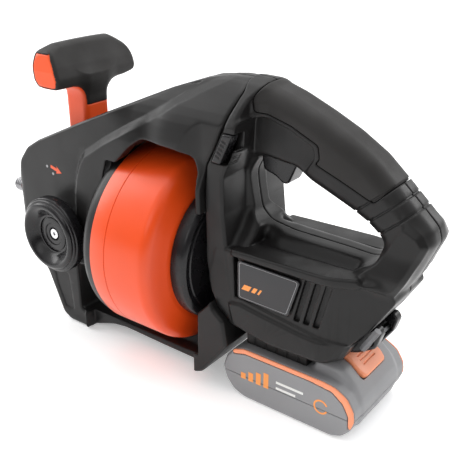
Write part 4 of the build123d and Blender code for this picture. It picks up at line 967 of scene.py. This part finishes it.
# button seat
nx_, nz_ = 0.62 / math.hypot(0.62, 0.785), 0.785 / math.hypot(0.62, 0.785)
un = (g6.X + 41) * nx_ + (g6.Z + 46) * nz_
ua = (g6.X + 41) * nz_ - (g6.Z + 46) * nx_
seat = np.maximum(rext(np.abs(ua) - 11.3, g6.T - 16.3, 3.0), -5.5 - un)
case = np.maximum(case, -np.maximum(seat, un - 12))
cells = np.maximum(np.maximum(np.abs(g6.X + 80.4) - 48.5, np.abs(g6.Z + 73.2) - 13), g6.T - 33.5)
case = np.maximum(case, -cells)
lid = smax(case, -73.05 - g6.Z, 0.5)
tray = smax(case, g6.Z + 73.35, 0.5)
put(field_obj("battery_lid_form", g6, lid, MAT["grey"], 0.3), "battery", "grey_plastic", "battery_lid")
put(field_obj("battery_tray_form", g6, tray, MAT["grey"], 0.3), "battery", "grey_plastic", "battery_tray")
strip = np.maximum(strip, outer_sdf + 0.25)
strip = np.maximum(strip, g6.T - 37.9)
put(field_obj("battery_stripe_form", g6, strip, MAT["salmon"], 0.4), "battery", "salmon_plastic", "battery_stripes")
g7 = Grid(-56, -26, -16.5, 16.5, -60, -34, 0.4)
vn = (g7.X + 41) * nx_ + (g7.Z + 46) * nz_
va = (g7.X + 41) * nz_ - (g7.Z + 46) * nx_
btn = rext(np.abs(va) - 10.9, g7.T - (15.9 - 1.6 * step(4, 11, va)), 3.0)
dish = 1.75 - 0.9 * np.exp(-(va / 6.5) ** 2 - (g7.Y / 11.0) ** 2)
btn = smax(np.maximum(btn, -2.6 - vn), vn - dish, 1.6)
for k in (-1, 0, 1):
    btn = np.maximum(btn, -np.maximum(np.maximum(np.abs(va - 3.2 * k) - 0.35, g7.T - 8), 0.4 - vn))
put(field_obj("battery_button_form", g7, btn, MAT["salmon"], 0.4), "button", "salmon_plastic", "battery_button")
# printed marks on the pack's side, plain shapes only
for i, (xa, zlo) in enumerate(((-118, -75), (-111.5, -75), (-105, -75), (-98.5, -75))):
    h = 5.0 + 2.4 * i
    put(slab("pack_level_%d" % i, [(xa, zlo), (xa + 4.2, zlo), (xa + 4.2, zlo + h), (xa, zlo + h)], -37.9, -38.1, MAT["label_orange"], 0),
        "battery", "grey_plastic")
for i, (xa, xb, zz) in enumerate(((-88, -66, -67.5), (-88, -72, -72.2))):
    put(slab("pack_line_%d" % i, [(xa, zz), (xb, zz), (xb, zz + 1.9), (xa, zz + 1.9)], -37.9, -38.1, MAT["label_white"], 0),
        "battery", "grey_plastic")
seg = 40
ro, ri = 5.6, 4.3
co, q = [], []
for k in range(seg + 1):
    a = math.radians(25 + 310 * k / seg)
    for rr_ in (ri, ro):
        for yy in (-37.9, -38.1):
            co.append(M(-52 + rr_ * math.cos(a), yy, -71 + rr_ * math.sin(a)))
for k in range(seg):
    b = 4 * k
    q += [(b + 1, b + 3, b + 7, b + 5), (b, b + 4, b + 6, b + 2), (b, b + 1, b + 5, b + 4), (b + 2, b + 6, b + 7, b + 3)]
q += [(0, 2, 3, 1), (4 * seg, 4 * seg + 1, 4 * seg + 3, 4 * seg + 2)]
put(mesh_obj("pack_ring", np.array(co), np.array(q), MAT["label_orange"], smooth=False), "battery", "grey_plastic")

# ------------------------------------------------------------------ rail block under the housing and key clip
g8 = Grid(-120, -68, -31, 31, -51, -36, 0.45)
rb = rext(poly(g8, [(-119, -50.4), (-69, -50.4), (-69, -37.5), (-119, -37.5)], 0.5), g8.T - 30.0, 1.2)
rb = np.maximum(rb, -np.maximum(np.maximum(-116.2 - g8.X, g8.T - 20.4), g8.Z + 41.6 - 0.0))
rb = np.maximum(rb, -np.maximum(np.maximum(-116.2 - g8.X, g8.T - 24.4), np.maximum(-46.4 - g8.Z, g8.Z + 41.6)))
for k in range(5):
    xr = -112 + 9 * k
    rb = np.maximum(rb, -np.maximum(np.maximum(np.abs(g8.X - xr) - 0.6, 29.4 - g8.T), g8.Z + 40))
put(field_obj("rail_block_form", g8, rb, MAT["black"], 0.35), "housing", "black_plastic", "rail_block")
g9 = Grid(-50, -22, -17.5, 17.5, -38, -11, 0.4)
kc = poly(g9, [(-44.5, -28.2), (-31.4, -12.2), (-26, -12), (-23.4, -16), (-26.6, -27), (-38, -34.4), (-44, -36.6), (-49, -36.2)], 1.2)
kc = rext(kc, g9.T - 17.0, 2.4)
notch = np.maximum(poly(g9, [(-34, -18), (-30, -10), (-20, -10), (-20, -25.5), (-28, -24.5)], 1.0), g9.T - 8.5)
kc = smax(kc, -notch, 1.0)
kc = np.maximum(kc, -cyl_y(g9, -30.6, -22.8, 3.0))
clear = poly(g9, BODY_OUT, 1.2)
kc = np.maximum(kc, -(clear - 0.2) - 0.0)
put(field_obj("key_clip_form", g9, kc, MAT["black_smooth"], 0.4), "housing", "black_plastic", "key_clip")

# ------------------------------------------------------------------ case screws, driven in from the right
FRAME_SCREWS = [(-330, 46), (-269, 74), (-300, -70), (-172, 119), (-146, -66)]
BODY_SCREWS = ((-66, 91), (-139, 62), (-46, 14), (-88, -32), (-8, 47))
SCREWS = [(x, z, 30, 11.5) for x, z in FRAME_SCREWS] + [(x, z, y0, 8) for (x, z), y0 in zip(BODY_SCREWS, (12, 30, 24, 30, 12))]
for i, (sx, sz, y0, ys) in enumerate(SCREWS):
    prof = [(ys, 0.25), (ys, 1.5), (y0 + 0.2, 1.5), (y0 + 0.2, 3.3), (y0 + 2.4, 3.3), (y0 + 2.8, 2.8), (y0 + 2.8, 1.5), (y0 + 1.6, 1.4), (y0 + 1.6, 0.25)]
    put(lathe("case_screw_%d" % i, prof, (sx, 0, sz), (0, 1, 0), MAT["dark_steel"], seg=32), "housing", "steel", *(["housing_screws"] if i == 0 else []))

# ------------------------------------------------------------------ finish of the CAD parts that show through openings
SLOT_MAT = {"black_plastic": "black", "soft_black": "soft", "orange_plastic": "orange", "plate_black": "plate", "steel": "steel",
            "brass": "brass", "gear_nylon": "nylon", "circuit_board": "board", "grey_plastic": "grey", "salmon_plastic": "salmon",
            "cell_wrap": "wrap"}
for row in frame["record"]["subparts"]:
    node = frame["nodes"].get(row["node"])
    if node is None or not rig.alive(node):
        continue
    finish = MAT["dark_steel" if row["node"] == "hex_key" else SLOT_MAT.get(row["material_slot"], "black")]
    if len(node.data.materials) == 0:
        node.data.materials.append(finish)
    for k in range(len(node.data.materials)):
        node.data.materials[k] = finish



# ------------------------------------------------------------------ studio
def area(name, loc, target, size, power, color=(1, 1, 1)):
    l = bpy.data.lights.new(name, "AREA")
    l.shape = "RECTANGLE"
    l.size, l.size_y = size
    l.energy = power
    l.color = color
    o = bpy.data.objects.new(name, l)
    bpy.context.scene.collection.objects.link(o)
    o.location = loc
    o.rotation_euler = (Vector(target) - Vector(loc)).to_track_quat("-Z", "Y").to_euler()
    return o


area("softbox_top", (-0.15, 0.25, 1.35), (-0.08, 0, 0.1), (1.3, 1.0), 7.5)
area("softbox_left", (-1.15, -0.25, 0.75), (-0.1, 0, 0.12), (0.7, 0.9), 7)
area("softbox_front", (0.2, -1.4, 1.0), (-0.05, 0, 0.1), (1.1, 0.5), 3)
area("strip_back", (0.6, 1.0, 0.7), (-0.05, 0, 0.15), (0.8, 0.5), 4)
world = bpy.data.worlds.new("studio")
world.use_nodes = True
wt = world.node_tree
wc = wt.nodes.new("ShaderNodeTexCoord")
wd = wt.nodes.new("ShaderNodeVectorMath")
wd.operation = "DOT_PRODUCT"
wd.inputs[1].default_value = (-0.42, 0.55, 0.72)
wr = wt.nodes.new("ShaderNodeMapRange")
wr.interpolation_type = "SMOOTHSTEP"
wr.inputs["From Min"].default_value = -0.35
wr.inputs["From Max"].default_value = 0.35
wr.inputs["To Min"].default_value = 0.13
wr.inputs["To Max"].default_value = 1.08
wt.links.new(wc.outputs["Generated"], wd.inputs[0])
wt.links.new(wd.outputs["Value"], wr.inputs["Value"])
wt.links.new(wr.outputs["Result"], wt.nodes["Background"].inputs["Strength"])
wt.nodes["Background"].inputs["Color"].default_value = (1, 1, 1, 1)
bpy.context.scene.world = world

me = bpy.data.meshes.new("studio_floor")
R = 60.0
me.from_pydata([(-R, -R, -0.0004), (R, -R, -0.0004), (R, R, -0.0004), (-R, R, -0.0004)], [], [(0, 1, 2, 3)])
floor = bpy.data.objects.new("studio_floor", me)
bpy.context.scene.collection.objects.link(floor)
fm = material("pale_floor", (0.93, 0.93, 0.93), rough=0.8, grain=40, bump=0.02, vary=0.01, wear=0.0)
me.materials.append(fm)
fb = next(n for n in fm.node_tree.nodes if n.type == "BSDF_PRINCIPLED")
fb.inputs["Emission Color"].default_value = (1, 1, 1, 1)
fb.inputs["Emission Strength"].default_value = 0.3
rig.stage(floor)

json.dump({"cad": CAD_BOX, "visual": [[float(c) for c in p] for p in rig.bounds()]}, open("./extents.json", "w"))
